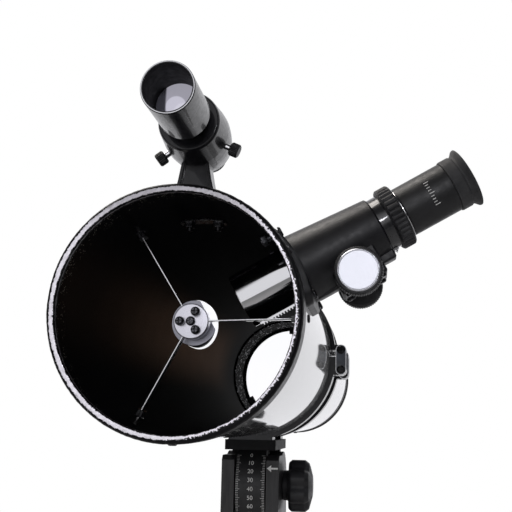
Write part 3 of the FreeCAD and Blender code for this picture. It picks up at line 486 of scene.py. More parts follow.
def tube_inside(name):
    """Flat black anti-reflection paint with grit near the mouth, and a painted warm glow half way down that
    stands in for light reflected inside the tube.
    """
    s = Surface(name, (0.004, 0.004, 0.005), 0.8)
    s.set("Specular IOR Level", 0.05)
    s.vary_roughness(800, 0.75, 0.9)
    parts = s.split(s.mapped(shift=(0, -FRONT_Y, -AXIS_Z)))
    along, across, height = (parts[axis] for axis in "YXZ")
    glow = s.math("MULTIPLY", s.smooth(along, 0.03, 0.44, 0.10, 1), s.smooth(along, 0.54, 0.67, 1, 0))
    glow = s.math("MULTIPLY", glow, s.smooth(across, -0.06, -0.03, 1, 0))
    glow = s.math("MULTIPLY", glow, s.smooth(height, -0.034, 0.010, 0, 1))
    glow = s.math("MULTIPLY", glow, s.smooth(height, 0.020, 0.058, 1, 0))
    dots = s.ramp(s.cells(620), 0.18, 0.30, 1, 0)
    grit = s.math("MULTIPLY", dots, s.ramp(s.noise(220, 2), 0.45, 0.6, 0, 1))
    grit = s.math("MULTIPLY", grit, s.ramp(along, -0.006, 0.012, 1, 0))
    s.blend_colour(grit, (0.004, 0.004, 0.0052), (0.75, 0.72, 0.62))
    # Painted light: the warm glow is emission on the wall, which is no lamp.
    s.set("Emission Color", (1.0, 0.60, 0.40, 1))
    s.link(s.math("MULTIPLY", glow, s.ramp(s.noise(40, 3), 0.3, 0.7, 0.017, 0.022)),
           s.shader.inputs["Emission Strength"])
    s.bump(s.noise(2600, 3), 0.35, 0.0002)
    return s.material


def satin_plastic(name, tint=(0.011, 0.011, 0.012), grain=1500, rough=(0.34, 0.5), depth=0.25):
    s = Surface(name, tint, 0.42)
    s.vary_colour(120, tint, tuple(c * 1.7 for c in tint))
    s.vary_roughness(260, *rough)
    s.bump(s.cells(grain), depth, 0.00015)
    return s.material


def soft_rubber(name, shade=0.009):
    tones = (70, (shade, shade, shade * 1.1), (shade * 2.3, shade * 2.3, shade * 2.4))
    return plain(name, (shade, shade, shade), 0.66, tones, (180, 0.56, 0.78), (1800, 4, 0.3, 0.0002),
                 extra=(("Sheen Weight", 0.15), ("Sheen Roughness", 0.5)))


def polished_chrome(name, shade=0.93):
    s = Surface(name, (shade, shade, shade * 1.02), 0.06, metallic=1.0)
    s.vary_roughness(90, 0.035, 0.11)
    s.bump(s.noise(700, 2), 0.015, 0.0003)
    return s.material


def turned_silver(name, centre, axis, colour=(0.74, 0.735, 0.80), rough=(0.26, 0.4)):
    """Satin silver with fine concentric tool marks about a centre."""
    s = Surface(name, colour, 0.3, metallic=1.0)
    turn = Vector(axis).rotation_difference(Vector((0, 0, 1))).to_euler()
    shift = -(turn.to_matrix() @ Vector(centre))
    radius = s.from_axis(s.split(s.mapped(shift=shift, turn=turn)), "X", "Y")[1]
    rings = s.new("ShaderNodeTexNoise", noise_dimensions="1D")
    rings.inputs["Scale"].default_value = 5200
    rings.inputs["Detail"].default_value = 3
    s.link(radius, rings.inputs["W"])
    s.link(s.ramp(rings.outputs["Fac"], 0.3, 0.7, *rough), s.shader.inputs["Roughness"])
    s.bump(rings.outputs["Fac"], 0.12, 0.00006)
    return s.material


def dark_steel(name, tint=(0.035, 0.035, 0.038)):
    """Black oxide screws, worn to bare steel in small spots."""
    tones = (900, tint, tuple(c * 2.0 for c in tint), None, 0.5, 0.75)
    return plain(name, tint, 0.3, tones, (600, 0.2, 0.42), (1500, 3, 0.12, 0.0001), 0.85)


def laminate(name):
    """Black laminated board with a printed ash grain pressed into it."""
    s = Surface(name, (0.014, 0.014, 0.015), 0.45, coat=0.15, coat_roughness=0.3)
    grain = s.mapped(scale=(14, 14, 1))
    s.vary_colour(26, (0.009, 0.009, 0.010), (0.026, 0.025, 0.026), vector=grain, detail=8)
    s.vary_roughness(40, 0.36, 0.56, vector=grain, detail=8)
    s.bump(s.noise(30, 8, 0.7, vector=grain), 0.22, 0.0004)
    return s.material


def worn_edge(name):
    """A painted highlight: a bright, slightly glowing line that stands in for the room's light caught along
    an edge.
    """
    s = Surface(name, (0.86, 0.86, 0.88), 0.5)
    s.vary_colour(500, (0.70, 0.70, 0.73), (0.92, 0.92, 0.95))
    s.vary_roughness(400, 0.4, 0.6)
    s.glow((0.95, 0.96, 1.0), 0.22)
    return s.material


def mirror_glass(name):
    """Aluminised front surface with a trace of dust."""
    s = Surface(name, (0.93, 0.935, 0.95), 0.01, metallic=1.0)
    s.vary_colour(600, (0.90, 0.905, 0.92), (0.95, 0.955, 0.965), low=0.55, high=0.8)
    s.vary_roughness(500, 0.004, 0.03)
    # Painted reflection: a glow that stands in for the white room which the mirror gathers from all along the
    # tube.
    s.glow((0.97, 0.975, 1.0), 1.0)
    return s.material


def coated_lens(name):
    s = Surface(name, (0.62, 0.62, 0.68), 0.04, coat=1.0, coat_roughness=0.02, ior=1.52)
    s.set("Transmission Weight", 0.25)
    # Painted reflection: a faint glow in the lens stands in for the bright room that it reflects.
    s.glow((0.90, 0.88, 1.0), 0.36)
    s.vary_roughness(200, 0.02, 0.07)
    s.vary_colour(60, (0.58, 0.58, 0.65), (0.68, 0.68, 0.74))
    return s.material


def finder_glass(name):
    """The finder's objective: a lavender coating with a painted reflection in it, a paler round glow, and the
    glow painted darker towards the far edge.
    """
    s = Surface(name, (0.20, 0.20, 0.24), 0.04, coat=1.0, coat_roughness=0.02, ior=1.52)
    parts = s.split(s.mapped(shift=(0.0018, 0, -FINDER_Z + 0.0005)))
    radius = s.from_axis(parts, "X", "Z")[1]
    painted_reflection = s.smooth(radius, 0.0057, 0.0065, 0.60, 0.36)
    # Painted shade: the glow is painted darker towards the far edge.
    lit = s.math("MULTIPLY", painted_reflection, s.smooth(parts["X"], -0.0068, -0.0054, 0.02, 1))
    s.set("Emission Color", (0.88, 0.86, 1.0, 1))
    s.link(lit, s.shader.inputs["Emission Strength"])
    s.vary_roughness(200, 0.02, 0.07)
    return s.material


GLOSS = gloss_black("gloss_enamel")
RING_GLOSS = gloss_black("ring_enamel", (0.006, 0.006, 0.008), 0.02, 0.4)
LINK_PAINTED_HIGHLIGHT = worn_edge("link_worn_edge")
LINK_GLOSS = gloss_black("link_enamel", (0.10, 0.11, 0.13), 0.02, 0.5)
BLACK = (0.005, 0.005, 0.006)
FLAT_BLACK = plain("flat_black_paint", BLACK, 0.6, (150, BLACK, tuple(c * 1.6 for c in BLACK)),
                   (300, 0.5, 0.7), (1400, 3, 0.1, 0.0001), extra=[("Specular IOR Level", 0.2)])
FINDER_LENS = finder_glass("finder_coating")
TUBE_PAINT = gloss_black("tube_enamel", (0.010, 0.010, 0.012), 0.012, 1.0, 1.6)
FINDER_GLOSS = gloss_black("finder_gloss", (0.007, 0.007, 0.009), 0.015, 0.45)
WRINKLE = cast_texture("hammered_enamel")
REAR_WRINKLE = cast_texture("hammered_enamel_rear", 0.0, 0.02)
SPECKLED = speckled_black("speckled_black")
CASTING = satin_plastic("casting_enamel", (0.007, 0.007, 0.009), 900, (0.36, 0.48), 0.12)
INSIDE = tube_inside("flat_black_inside")
SATIN = satin_plastic("satin_plastic")
GRIP = satin_plastic("grip_plastic", (0.016, 0.016, 0.018), 2200, (0.4, 0.58), 0.35)
RUBBER = soft_rubber("black_rubber")
CUP_RUBBER = soft_rubber("eyecup_rubber", 0.022)
CHROME = polished_chrome("polished_chrome")
DRAW_CHROME = polished_chrome("drawtube_chrome", 0.70)
BLACK_STEEL = dark_steel("black_oxide_steel")
STEEL = plain("plated_steel", (0.55, 0.55, 0.57), 0.28, (160, (0.50, 0.50, 0.52), (0.64, 0.63, 0.62)),
              (300, 0.2, 0.38), (900, 3, 0.1, 0.0001), 1.0)
BOARD = laminate("black_laminate")
BAND = plain("board_edge_band", (0.02, 0.02, 0.021), 0.38,
             (60, (0.014, 0.014, 0.015), (0.026, 0.026, 0.027)), (200, 0.3, 0.46), (600, 3, 0.1, 0.0001))
PTFE = plain("ptfe", (0.78, 0.78, 0.75), 0.4, (80, (0.72, 0.72, 0.69), (0.82, 0.82, 0.80)),
             (150, 0.3, 0.5), (700, 3, 0.08, 0.0001))
PRINT = plain("printed_marks", (0.90, 0.90, 0.88), 0.5, (900, (0.80, 0.80, 0.78), (0.94, 0.94, 0.92)),
              None, (2400, 2, 0.1, 0.00005))
MIRROR = mirror_glass("mirror_coating")
GROUND_GLASS = plain("ground_glass", (0.42, 0.50, 0.47), 0.55, (200, (0.36, 0.45, 0.42), (0.50, 0.58, 0.55)),
                     (500, 0.45, 0.65), (1600, 3, 0.3, 0.0001))
LENS = coated_lens("coated_lens")
VANE = turned_silver("vane_steel", (0, 0, 0), (0, 1, 0), (0.78, 0.78, 0.80), (0.2, 0.32))
HUB_SILVER = turned_silver("hub_silver", TUBE.translation, (0, 1, 0))
CAP_SILVER = turned_silver("cap_silver", PINION, (0, 1, 0), (0.70, 0.71, 0.76), (0.30, 0.36))
HOLDER_SILVER = turned_silver("holder_silver", TUBE.translation, (0, 1, 0), (0.30, 0.30, 0.34), (0.3, 0.45))
NUT_STEEL = dark_steel("nut_steel", (0.09, 0.09, 0.10))
HEAD_BLACK = gloss_black("head_black", (0.003, 0.003, 0.004), 0.03, 0.3)

# ---------------------------------------------------------------- tube and end rings

RING_SEGMENTS = 540
# The radius that the end rings and the curved plates bear on, just clear of the tube's paint.
ON_TUBE = 72.05


def wrinkled(points, at, name, material, depth=0.22):
    """An end ring: turned, then roughened by real bumps on its outer faces."""
    bm = bmesh.new()
    lathe(bm, points, at, RING_SEGMENTS)
    bm.normal_update()
    centre = at.translation
    for vertex in bm.verts:
        away = vertex.co - centre
        if Vector((away.x, 0, away.z)).length > 0.0732 and abs(away.y) < 0.004:
            continue
        grain = noise.noise(vertex.co * 420) * 0.7 + noise.noise(vertex.co * 1000) * 0.3
        vertex.co += vertex.normal * grain * depth * MM
    return finish_mesh(name, bm, material, 60)


def dense(points, step):
    """The profile with its long runs divided, so that it can be roughened."""
    result = []
    for here, after in zip(points, points[1:] + points[:1]):
        count = max(1, round((after - here).length / step))
        result += [here.lerp(after, k / count) for k in range(count)]
    return result


FRONT_PROFILE = [(68.5, -13), (68.5, -18.8, 0.6), (72.2, -18.8, 1.8), (73.3, -16.6, 1.8),
                 (73.3, 0.5, 1), (72.9, 2.8, 0.3), (ON_TUBE, 2.8), (ON_TUBE, -13)]
REAR_PROFILE = [(ON_TUBE, 804), (72.7, 804, 0.3), (73.3, 807, 1), (73.3, 824, 1.6), (71.5, 825.8, 1.6),
                (63.6, 825.8, 1), (62.1, 824.4, 0.6), (62.1, 820), (ON_TUBE, 820)]


def build_tube():
    for node, profile, step, material in (("front_ring", FRONT_PROFILE, 0.6, WRINKLE),
                                          ("rear_ring", REAR_PROFILE, 0.8, REAR_WRINKLE)):
        ring = wrinkled(dense(fillet(profile), step), TUBE, node + "_cast", material)
        place(ring, "tube", "end_ring", node)

    inner, outer = TUBE_RADIUS - 0.8, TUBE_RADIUS
    bm = bmesh.new()
    heights = [-13 + (820 + 13) * k / 24 for k in range(25)]
    points = [Vector((inner, h)) for h in heights] + [Vector((outer, h)) for h in reversed(heights)]
    lathe(bm, points, TUBE, 256)
    for face in bm.faces:
        away = face.calc_center_median() - TUBE.translation
        if Vector((away.x, 0, away.z)).length < (inner + 0.3) * MM:
            face.material_index = 1
        elif away.y > 756 * MM:
            face.material_index = 2
    shell = finish_mesh("tube_shell", bm, [TUBE_PAINT, INSIDE, REAR_WRINKLE])
    combine(shell, [bar("hole", (0, 0, 50), (0, 0, 90), 20.5, FOCUSER, INSIDE, 64, 0)], "DIFFERENCE")
    place(shell, "tube", "tube", "main_tube")


# ---------------------------------------------------------------- cross-head screws


def cross_head(name, at, radius, height, material, recess=0.62):
    """A round screw head standing on local z = 0, with a cross recess."""
    dome = fillet([(0, 0), (radius, 0, 0.1), (radius, height * 0.55, 0.5), (radius * 0.72, height, 0.5),
                   (0, height)], 3)
    head = turned(name, dome, at, material, 40, False)
    reach, wide = radius * recess, radius * 0.15
    low, high = (-reach, -wide, height * 0.35), (reach, wide, height * 1.4)
    tools = [block("slot", low, high, rolled(at, turn), material) for turn in (0, 90)]
    return combine(head, tools, "DIFFERENCE")


def joined(name, pieces):
    """Several finished pieces as one object."""
    bm = bmesh.new()
    materials = []
    for piece in pieces:
        for material in piece.data.materials:
            if material not in materials:
                materials.append(material)
        before = len(bm.faces)
        bm.from_mesh(piece.data)
        bm.faces.ensure_lookup_table()
        order = [materials.index(material) for material in piece.data.materials]
        for face in bm.faces[before:]:
            face.material_index = order[face.material_index]
        bpy.data.objects.remove(piece)
    return finish_mesh(name, bm, materials, 30)


def rolled(base, angle):
    """A place turned about its own Z by an angle in degrees."""
    return base @ Matrix.Rotation(math.radians(angle), 4, "Z")


def radial_at(base, angle, distance, height):
    """A place on a turned piece's side, whose local Z points away from the axis."""
    moved = rolled(base, angle) @ Matrix.Translation((distance * MM, 0, height * MM))
    return moved @ Matrix.Rotation(math.pi / 2, 4, "Y")


VANE_TURNS = (-2, -122, -242)


def build_tube_screws():
    heads = []
    for number, (angle, height) in enumerate(
            [(-a, h) for a in (150, 270, 30) for h in (-5, 812)]):
        at = radial_at(TUBE, angle, 73.3, height)
        heads.append(cross_head(f"screw{number}", at, 2.6, 0.9, BLACK_STEEL))
    for number, angle in enumerate(VANE_TURNS):
        at = radial_at(TUBE, angle, 72, 40)
        heads.append(cross_head(f"vane_screw{number}", at, 2.6, 0.9, BLACK_STEEL))
        at = rolled(TUBE, angle)
        heads.append(bar(f"vane_stud{number}", (62, 0, 40), (71.5, 0, 40), 1.5, at, STEEL, 24))
    for x in (-9.5, 9.5):
        bm = bmesh.new()
        at = station(0, FRONT_Y, AXIS_Z)
        rod(bm, (x, 70, 63), (x, 70, 79), 2, at, 24)
        lathe(bm, disc_profile(3.5, 76.4, 79.2, 0.6), at @ Matrix.Translation((x * MM, 70 * MM, 0)), 32,
              closed=False, shape=ribs(18, 0.25, 76.6, 79))
        lathe(bm, disc_profile(3.8, 65.3, 69.2, 0.5), at @ Matrix.Translation((x * MM, 70 * MM, 0)), 6,
              closed=False)
        heads.append(finish_mesh("finder_bolt", bm, BLACK_STEEL))
    bm = bmesh.new()
    curved_plate(bm, station(0, FRONT_Y + 70 * MM, AXIS_Z), 69.25, 1.85, 15, 5.5, 3, 12)
    heads.append(finish_mesh("backing_strip", bm, STEEL))
    place(joined("tube_fasteners", heads), "tube", "black_screw", "tube_screws")


# ---------------------------------------------------------------- spider and mirrors

ADJUSTERS = [math.radians(angle) for angle in (182, 62, -58)]
HUB_SCREWS = [(0, 0)] + [(6.5 * math.cos(turn), 6.5 * math.sin(turn)) for turn in ADJUSTERS]


def build_spider():
    hub = fillet([(0, 36), (10.9, 36, 0.7), (10.9, 44, 0.5), (0, 44)], 4)
    place(turned("spider_hub_plate", hub, TUBE, HUB_SILVER, 96, False), "tube", "silver", "spider_hub")

    bm = bmesh.new()
    for angle in VANE_TURNS:
        at = rolled(TUBE, angle)
        brick(bm, (10.4, -0.36, 36.5), (66, 0.36, 43.5), at, 0.15)
        brick(bm, (61.5, -2, 36.5), (66, 2, 43.5), at, 0.5)
    for face in bm.faces:
        middle = face.calc_center_median()
        block = Vector((middle.x, middle.z - AXIS_Z)).length > 61 * MM
        face.material_index = 1 if block or middle.y > FRONT_Y + 36.75 * MM else 0
    place(finish_mesh("spider_vane_set", bm, [VANE, GLOSS]), "tube", "steel", "spider_vanes")

    heads = []
    for number, (x, z) in enumerate(HUB_SCREWS):
        # The head's local Z points out of the tube's mouth.
        at = station(x * MM, FRONT_Y + 36 * MM, AXIS_Z + z * MM, (0, -1, 0), (1, 0, 0))
        heads.append(cross_head(f"hub_screw{number}", at, 2.85, 3.2 if number == 0 else 6, NUT_STEEL))
        end, radius = (-11, 1.5) if number else (-18, 2)
        heads.append(bar(f"hub_shank{number}", (0, 0, 0.4), (0, 0, end), radius, at, STEEL, 20))
    place(joined("hub_screw_set", heads), "tube", "black_screw", "secondary_screws")


MIRROR_RADIUS = 65
MIRROR_CURVE = 1720
MIRROR_Y = 769
CELL_FLOOR = 807


def build_primary():
    bm = bmesh.new()
    radii = [MIRROR_RADIUS * k / 24 for k in range(24)]
    dish = [(r, MIRROR_Y - r * r / (2 * MIRROR_CURVE)) for r in radii]
    edge = MIRROR_Y - MIRROR_RADIUS ** 2 / (2 * MIRROR_CURVE)
    rim = fillet([(64, edge), (65, edge, 0.5), (65, MIRROR_Y + 15, 0.7), (0, MIRROR_Y + 15)], 3)
    lathe(bm, [Vector(p) for p in dish] + rim, TUBE, 160, closed=False)
    for face in bm.faces:
        middle = face.calc_center_median()
        away = Vector((middle.x, middle.z - AXIS_Z)).length / MM
        if middle.y > FRONT_Y + (MIRROR_Y + 0.2) * MM or away > 64.4:
            face.material_index = 1
    place(finish_mesh("primary_mirror_glass", bm, [MIRROR, GROUND_GLASS]), "tube", "mirror", "primary_mirror")

    for node, slot, material, width in (
            ("mirror_support", "black_metal", GLOSS, 0.8), ("mirror_clips", "black_plastic", SATIN, 0.4),
            ("secondary_holder", "silver", HOLDER_SILVER, 0.5), ("lock_screws", "steel", STEEL, 0.3)):
        softened(node, slot, material, width)
    flat_mirror = frame["nodes"]["secondary_mirror"].data.materials
    flat_mirror.clear()
    flat_mirror.append(MIRROR)


def build_mirror_cell():
    """The sleeve's inside is rough, which kills stray light."""
    bm = bmesh.new()
    sleeve = [(69, 695, 0.4), (71.15, 695, 0.4), (71.15, 816, 0.5), (20, 816, 1), (20, 808, 1),
              (69, 808, 0.6)]
    lathe(bm, dense(fillet(sleeve), 1.5), TUBE, 360)
    bm.normal_update()
    for vertex in bm.verts:
        away = Vector((vertex.co.x, vertex.co.z - AXIS_Z)).length / MM
        if vertex.co.y < FRONT_Y + CELL_FLOOR * MM and away < 69.2:
            grain = noise.noise(vertex.co * 330) * 0.6 + noise.noise(vertex.co * 800) * 0.4
            vertex.co += vertex.normal * grain * 0.5 * MM
    place(finish_mesh("mirror_cell_cast", bm, SPECKLED, 60), "tube", "black_metal", "mirror_cell")

    bm = bmesh.new()
    for angle in (0, 120, 240):
        at = rolled(TUBE, angle - 90) @ Matrix.Translation((45 * MM, 0, 0))
        coil(bm, at, 4.0, 796.3, 807.7, 5, 0.55)
    place(finish_mesh("spring_coils", bm, STEEL), "tube", "steel", "cell_springs")


def build_collimation():
    for number in (1, 2, 3):
        centre = joints[f"collimation_{number}_turn"]["pos_m"]
        at = station(centre[0], FRONT_Y, centre[2], *ALONG_TUBE)
        bm = bmesh.new()
        rod(bm, (0, 0, 790.5), (0, 0, 819), 2.45, at, 32)
        grip = fillet([(0, 818), (7, 818, 0.6), (9, 820.5, 1), (9, 830, 1.2), (7.6, 833, 1.2),
                       (3.5, 833, 0.3), (3, 832.2, 0.3), (0, 832.2)], 4)
        lathe(bm, grip, at, 200, closed=False, shape=ribs(20, 0.9, 820.4, 831, 0.7))
        place(finish_mesh(f"collimation_grip_{number}", bm, GRIP), f"collimation_{number}", "black_plastic",
              f"collimation_knob_{number}")


def coil(bm, at, radius, low, high, turns, wire):
    """A helical spring of round wire."""
    steps, sides = turns * 28, 10
    rows = []
    for step in range(steps + 1):
        angle = 2 * math.pi * turns * step / steps
        height = low + wire + (high - low - 2 * wire) * step / steps
        out = Vector((math.cos(angle), math.sin(angle), 0))
        middle = out * radius + Vector((0, 0, height))
        row = []
        for side in range(sides):
            lean = 2 * math.pi * side / sides
            away = out * math.cos(lean) + Vector((0, 0, math.sin(lean)))
            row.append(bm.verts.new(at @ ((middle + away * wire) * MM)))
        rows.append(row)
    for low_row, high_row in zip(rows, rows[1:]):
        for side in range(sides):
            after = (side + 1) % sides
            bm.faces.new((low_row[side], low_row[after], high_row[after], high_row[side]))
    bm.faces.new(rows[0])
    bm.faces.new(rows[-1])


# ---------------------------------------------------------------- focuser and eyepiece


def curved_plate(bm, at, radius, thick, half_x, half_y, corner, steps=28, soft=1.2):
    """A plate with rounded corners on a cylinder along local Y. Its outer face is at radius + thick."""
    def inside(x, y):
        """How far inside the rounded rectangle a point is, from 0 at its edge."""
        dx, dy = abs(x) - (half_x - corner), abs(y) - (half_y - corner)
        outside = math.hypot(max(dx, 0), max(dy, 0)) + min(max(dx, dy), 0)
        return corner - outside
    grid = {}
    for layer in (0, 1):
        for i in range(-steps, steps + 1):
            for j in range(-steps, steps + 1):
                # Square-to-rounded mapping keeps the border on the rounded outline.
                u, v = i / steps, j / steps
                x, y = u * half_x, v * half_y
                if max(abs(u), abs(v)) > 1e-9:
                    while inside(x, y) < -1e-4:
                        x *= 0.998
                        y *= 0.998
                edge = min(1.0, max(0.0, inside(x, y)) / soft)
                rise = thick - soft * (1 - math.sqrt(1 - (1 - edge) ** 2)) if layer else 0
                height = math.sqrt((radius + rise) ** 2 - x * x)
                grid[layer, i, j] = bm.verts.new(at @ (Vector((x, y, height)) * MM))
    for i in range(-steps, steps):
        for j in range(-steps, steps):
            for layer in (0, 1):
                bm.faces.new([grid[layer, i + a, j + b] for a, b in ((0, 0), (1, 0), (1, 1), (0, 1))])
    up, back = range(-steps, steps), range(steps, -steps, -1)
    border = ([(k, -steps) for k in up] + [(steps, k) for k in up]
              + [(k, steps) for k in back] + [(-steps, k) for k in back])
    for here, after in zip(border, border[1:] + border[:1]):
        bm.faces.new([grid[0, *here], grid[0, *after], grid[1, *after], grid[1, *here]])


# The pinion's shaft crosses the focuser at this distance from its axis and this height.
PINION_OUT = 23.7
PINION_UP = 104
RACK_PITCH = 2 * math.pi * 3.9 / 12
RACK_ROOT = 19.05
RACK_TIP = 20.3
GLOSS_FROM = 121


def pinion_room():
    """The bore for the pinion's shaft, and the wider room round its teeth."""
    made = []
    for half, radius in ((20, 3.1), (3.6, 5.2)):
        ends = (PINION_OUT, -half, PINION_UP), (PINION_OUT, half, PINION_UP)
        made.append(bar("room", *ends, radius, FOCUSER, CASTING, 48, 0))
    return made


def build_focuser():
    bm = bmesh.new()
    curved_plate(bm, FOCUSER, ON_TUBE, 4.8, 27, 34, 9)
    flange = finish_mesh("focuser_casting", bm, CASTING)

    tapered = fillet([(0, 73), (23.6, 73), (19.4, 130.7, 0.9), (18.2, 131.6, 0.2), (0, 131.6)], 6)
    parts = [turned("taper", tapered, FOCUSER, CASTING, 160, False),
             block("housing", (8, -17, 89.7), (23.6, 17, 121.2), FOCUSER, CASTING, 1.6, 4),
             block("rib", (8, -6.5, 75), (23.4, 6.5, 131.4), FOCUSER, CASTING, 1.4, 4)]
    combine(flange, parts, "UNION")
    openings = [bar("bore", (0, 0, 60), (0, 0, 140), 18.08, FOCUSER, CASTING, 128, 0),
                block("channel", (15, -3.6, 60), (21.2, 3.6, 140), FOCUSER, CASTING)]
    combine(flange, openings + pinion_room(), "DIFFERENCE")
    place(flange, "tube", "black_metal", "focuser_body")

    cover = block("pinion_cover_cast", (23.75, -17, 89.7), (30, 17, 121.2), FOCUSER, CASTING, 1.8, 4)
    combine(cover, pinion_room(), "DIFFERENCE")
    place(cover, "tube", "black_metal", "pinion_cover")


def build_focuser_bolts():
    heads = []
    for x in (-22, 22):
        for y in (-27, 27):
            at = FOCUSER @ Matrix.Translation((x * MM, y * MM, 73.8 * MM))
            heads.append(cross_head("bolt", at, 3.4, 1.8, BLACK_STEEL))
            bm = bmesh.new()
            rod(bm, (x, y, 61), (x, y, 75), 2, FOCUSER, 24)
            under = FOCUSER @ Matrix.Translation((x * MM, y * MM, 0))
            lathe(bm, disc_profile(3.8, 61.7, 65.2, 0.4), under, 6, closed=False)
            heads.append(finish_mesh("bolt_nut", bm, NUT_STEEL))
    for y in (-12, 12):
        for z in (94.2, 116.7):
            at = station(*(FOCUSER @ Vector((29.9 * MM, y * MM, z * MM))), FOCUS_DOWN, (0, 1, 0))
            heads.append(cross_head("cover_screw", at, 3, 1.8, BLACK_STEEL))
    place(joined("focuser_fasteners", heads), "tube", "black_screw", "focuser_bolts")


def build_drawtube():
    bm = bmesh.new()
    wall = fillet([(15.95, 33.6, 0.4), (18, 33.6, 0.5), (18, 121), (18, 146.9, 0.3), (15.95, 146.9, 0.3)], 3)
    lathe(bm, wall, SLID, 160)
    rack = [(17.4, 37.6), (RACK_ROOT, 37.6)]
    for tooth in range(48):
        middle = PINION_UP - RACK_PITCH * (31.5 - tooth)
        rack += [(RACK_ROOT, middle - 0.55), (RACK_TIP, middle - 0.25),
                 (RACK_TIP, middle + 0.25), (RACK_ROOT, middle + 0.55)]
    rack += [(RACK_ROOT, 137.3), (17.4, 137.3)]
    sides = [[bm.verts.new(SLID @ (Vector((x, y, z)) * MM)) for x, z in rack] for y in (-3, 3)]
    for side in sides:
        bm.faces.new(side)
    for k in range(len(rack)):
        after = (k + 1) % len(rack)
        bm.faces.new((sides[0][k], sides[0][after], sides[1][after], sides[1][k]))
    bmesh.ops.bisect_plane(bm, geom=[*bm.verts, *bm.edges, *bm.faces], plane_no=FOCUS_AXIS,
                           plane_co=SLID @ Vector((0, 0, GLOSS_FROM * MM)))
    for face in bm.faces:
        from_axis = (SLID.inverted() @ face.calc_center_median()) / MM
        if from_axis.z > GLOSS_FROM and from_axis.xy.length > 17.9:
            face.material_index = 1
    place(finish_mesh("drawtube_chromed", bm, [DRAW_CHROME, GLOSS], 30), "drawtube", "chrome", "drawtube")


def build_eyepiece_clamp():
    clamp = fillet([(18.08, 140.3), (19.6, 140.3, 0.4), (20.85, 141.4, 0.6), (20.85, 148.6, 0.6),
                    (19.8, 149.7, 0.5), (15.95, 149.7, 0.3), (15.95, 147.05), (18.08, 147.05)], 4)
    ribbed = ribs(36, 1.1, 141.3, 148.8, 0.45)
    ring = turned("eyepiece_clamp_ribbed", dense(clamp, 0.7), SLID, GRIP, 480, True, ribbed)
    place(ring, "eyepiece_clamp", "black_plastic", "eyepiece_clamp")


def build_pinion():
    softened("pinion_shaft", "steel", STEEL, 0.15, 2)
    grips, caps = bmesh.new(), bmesh.new()
    for sign in (-1, 1):
        at = PINION_AT @ Matrix.Rotation(0 if sign > 0 else math.pi, 4, "X")
        grip = fillet([(3.05, 24), (6.5, 24, 0.4), (6.5, 25.2, 0.3), (13.6, 25.2, 0.6), (15, 27, 0.8),
                       (15, 34.6, 0.8), (14, 36, 0.6), (0, 36), (0, 34.2), (3.05, 34.2)], 4)
        lathe(grips, dense(grip, 0.9), at, 480, shape=knurl(60, 0.55, 26.6, 35.2))
        cap = fillet([(0, 36), (13, 36, 0.2), (13, 37.1, 0.5), (12.3, 37.9, 0.5), (11.6, 37.6, 0.3),
                      (0, 37.75)], 4)
        lathe(caps, cap, at, 128, closed=False)
    place(finish_mesh("focus_knob_grips", grips, GRIP), "pinion", "black_plastic", "focus_knobs")
    place(finish_mesh("focus_knob_caps", caps, CAP_SILVER, 25), "pinion", "silver", "knob_caps")


def knurl(count, depth, low, high):
    """Straight knurling with a groove round its middle."""
    fine = ribs(count, depth, low, high, 0.8)
    middle = (low + high) / 2

    def shape(angle, radius, height):
        if radius < 13.9:
            return radius
        groove = 0.5 * depth * max(0, 1 - abs(height - middle) / 0.5)
        return fine(angle, radius, height) - groove
    return shape


def build_eyepiece():
    barrel = fillet([(14.4, 120, 0.2), (15.6, 120, 0.3), (15.875, 121, 0.4), (15.875, 149.82),
                     (17.0, 149.82, 0.1), (17.0, 150.6, 0.2), (14.4, 150.6)], 3)
    place(turned("eyepiece_barrel_chromed", barrel, SLID, CHROME), "eyepiece", "chrome", "eyepiece_barrel")

    body = [(13.2, 148.6), (16, 148.6, 0.4), (16.4, 149.6, 0.3), (16.4, 182.4, 0.5), (15.9, 183, 0.2),
            (15.9, 190, 0.2), (9.5, 187.6, 0.5), (9.5, 178.5, 0.3), (13.2, 176.5, 0.3)]
    place(turned("eyepiece_housing", fillet(body, 4), FOCUSER, SATIN, 160), "eyepiece", "black_plastic",
          "eyepiece_body")

    cup = [(15.95, 182.8, 0.2), (16.9, 182.8, 0.4), (17.2, 183.6, 0.4), (17.2, 189.8, 0.5),
           (16.5, 190.8, 0.5), (17.0, 192.0, 0.6), (19.5, 194.3, 1.2), (19.8, 195.4, 0.35),
           (18.9, 195.8, 0.35), (18.2, 195.5, 0.5), (15.2, 190.4, 1.5), (12.4, 188.9, 0.4),
           (12.4, 188.75, 0.1), (15.95, 190.05, 0.1)]
    place(turned("eyecup_rubber", fillet(cup, 5), FOCUSER, CUP_RUBBER, 160), "eyepiece", "rubber")

    # A row of index marks takes the place of any lettering.
    bm = bmesh.new()
    for number in range(9):
        at = rolled(FOCUSER, -116 + 7 * number)
        length = 3.4 if number % 4 == 0 else 2.2
        brick(bm, (16.36, -0.24, 167), (16.44, 0.24, 167 + length), at)
    place(finish_mesh("eyepiece_index_marks", bm, PRINT), "eyepiece", "black_plastic")

    bm = bmesh.new()
    field = fillet([(0, 151), (13.2, 152.5, 0.1), (13.2, 155, 0.2), (0, 155)], 3)
    lathe(bm, field, FOCUSER, 96, closed=False)
    eye = [Vector((9.5 * k / 12, 186 - 2 * (k / 12) ** 2)) for k in range(13)]
    lathe(bm, eye + [Vector((9.5, 180.2)), Vector((0, 180.2))], FOCUSER, 96, closed=False)
    place(finish_mesh("eyepiece_glass", bm, LENS), "eyepiece", "glass", "eyepiece_lenses")


# ---------------------------------------------------------------- finder


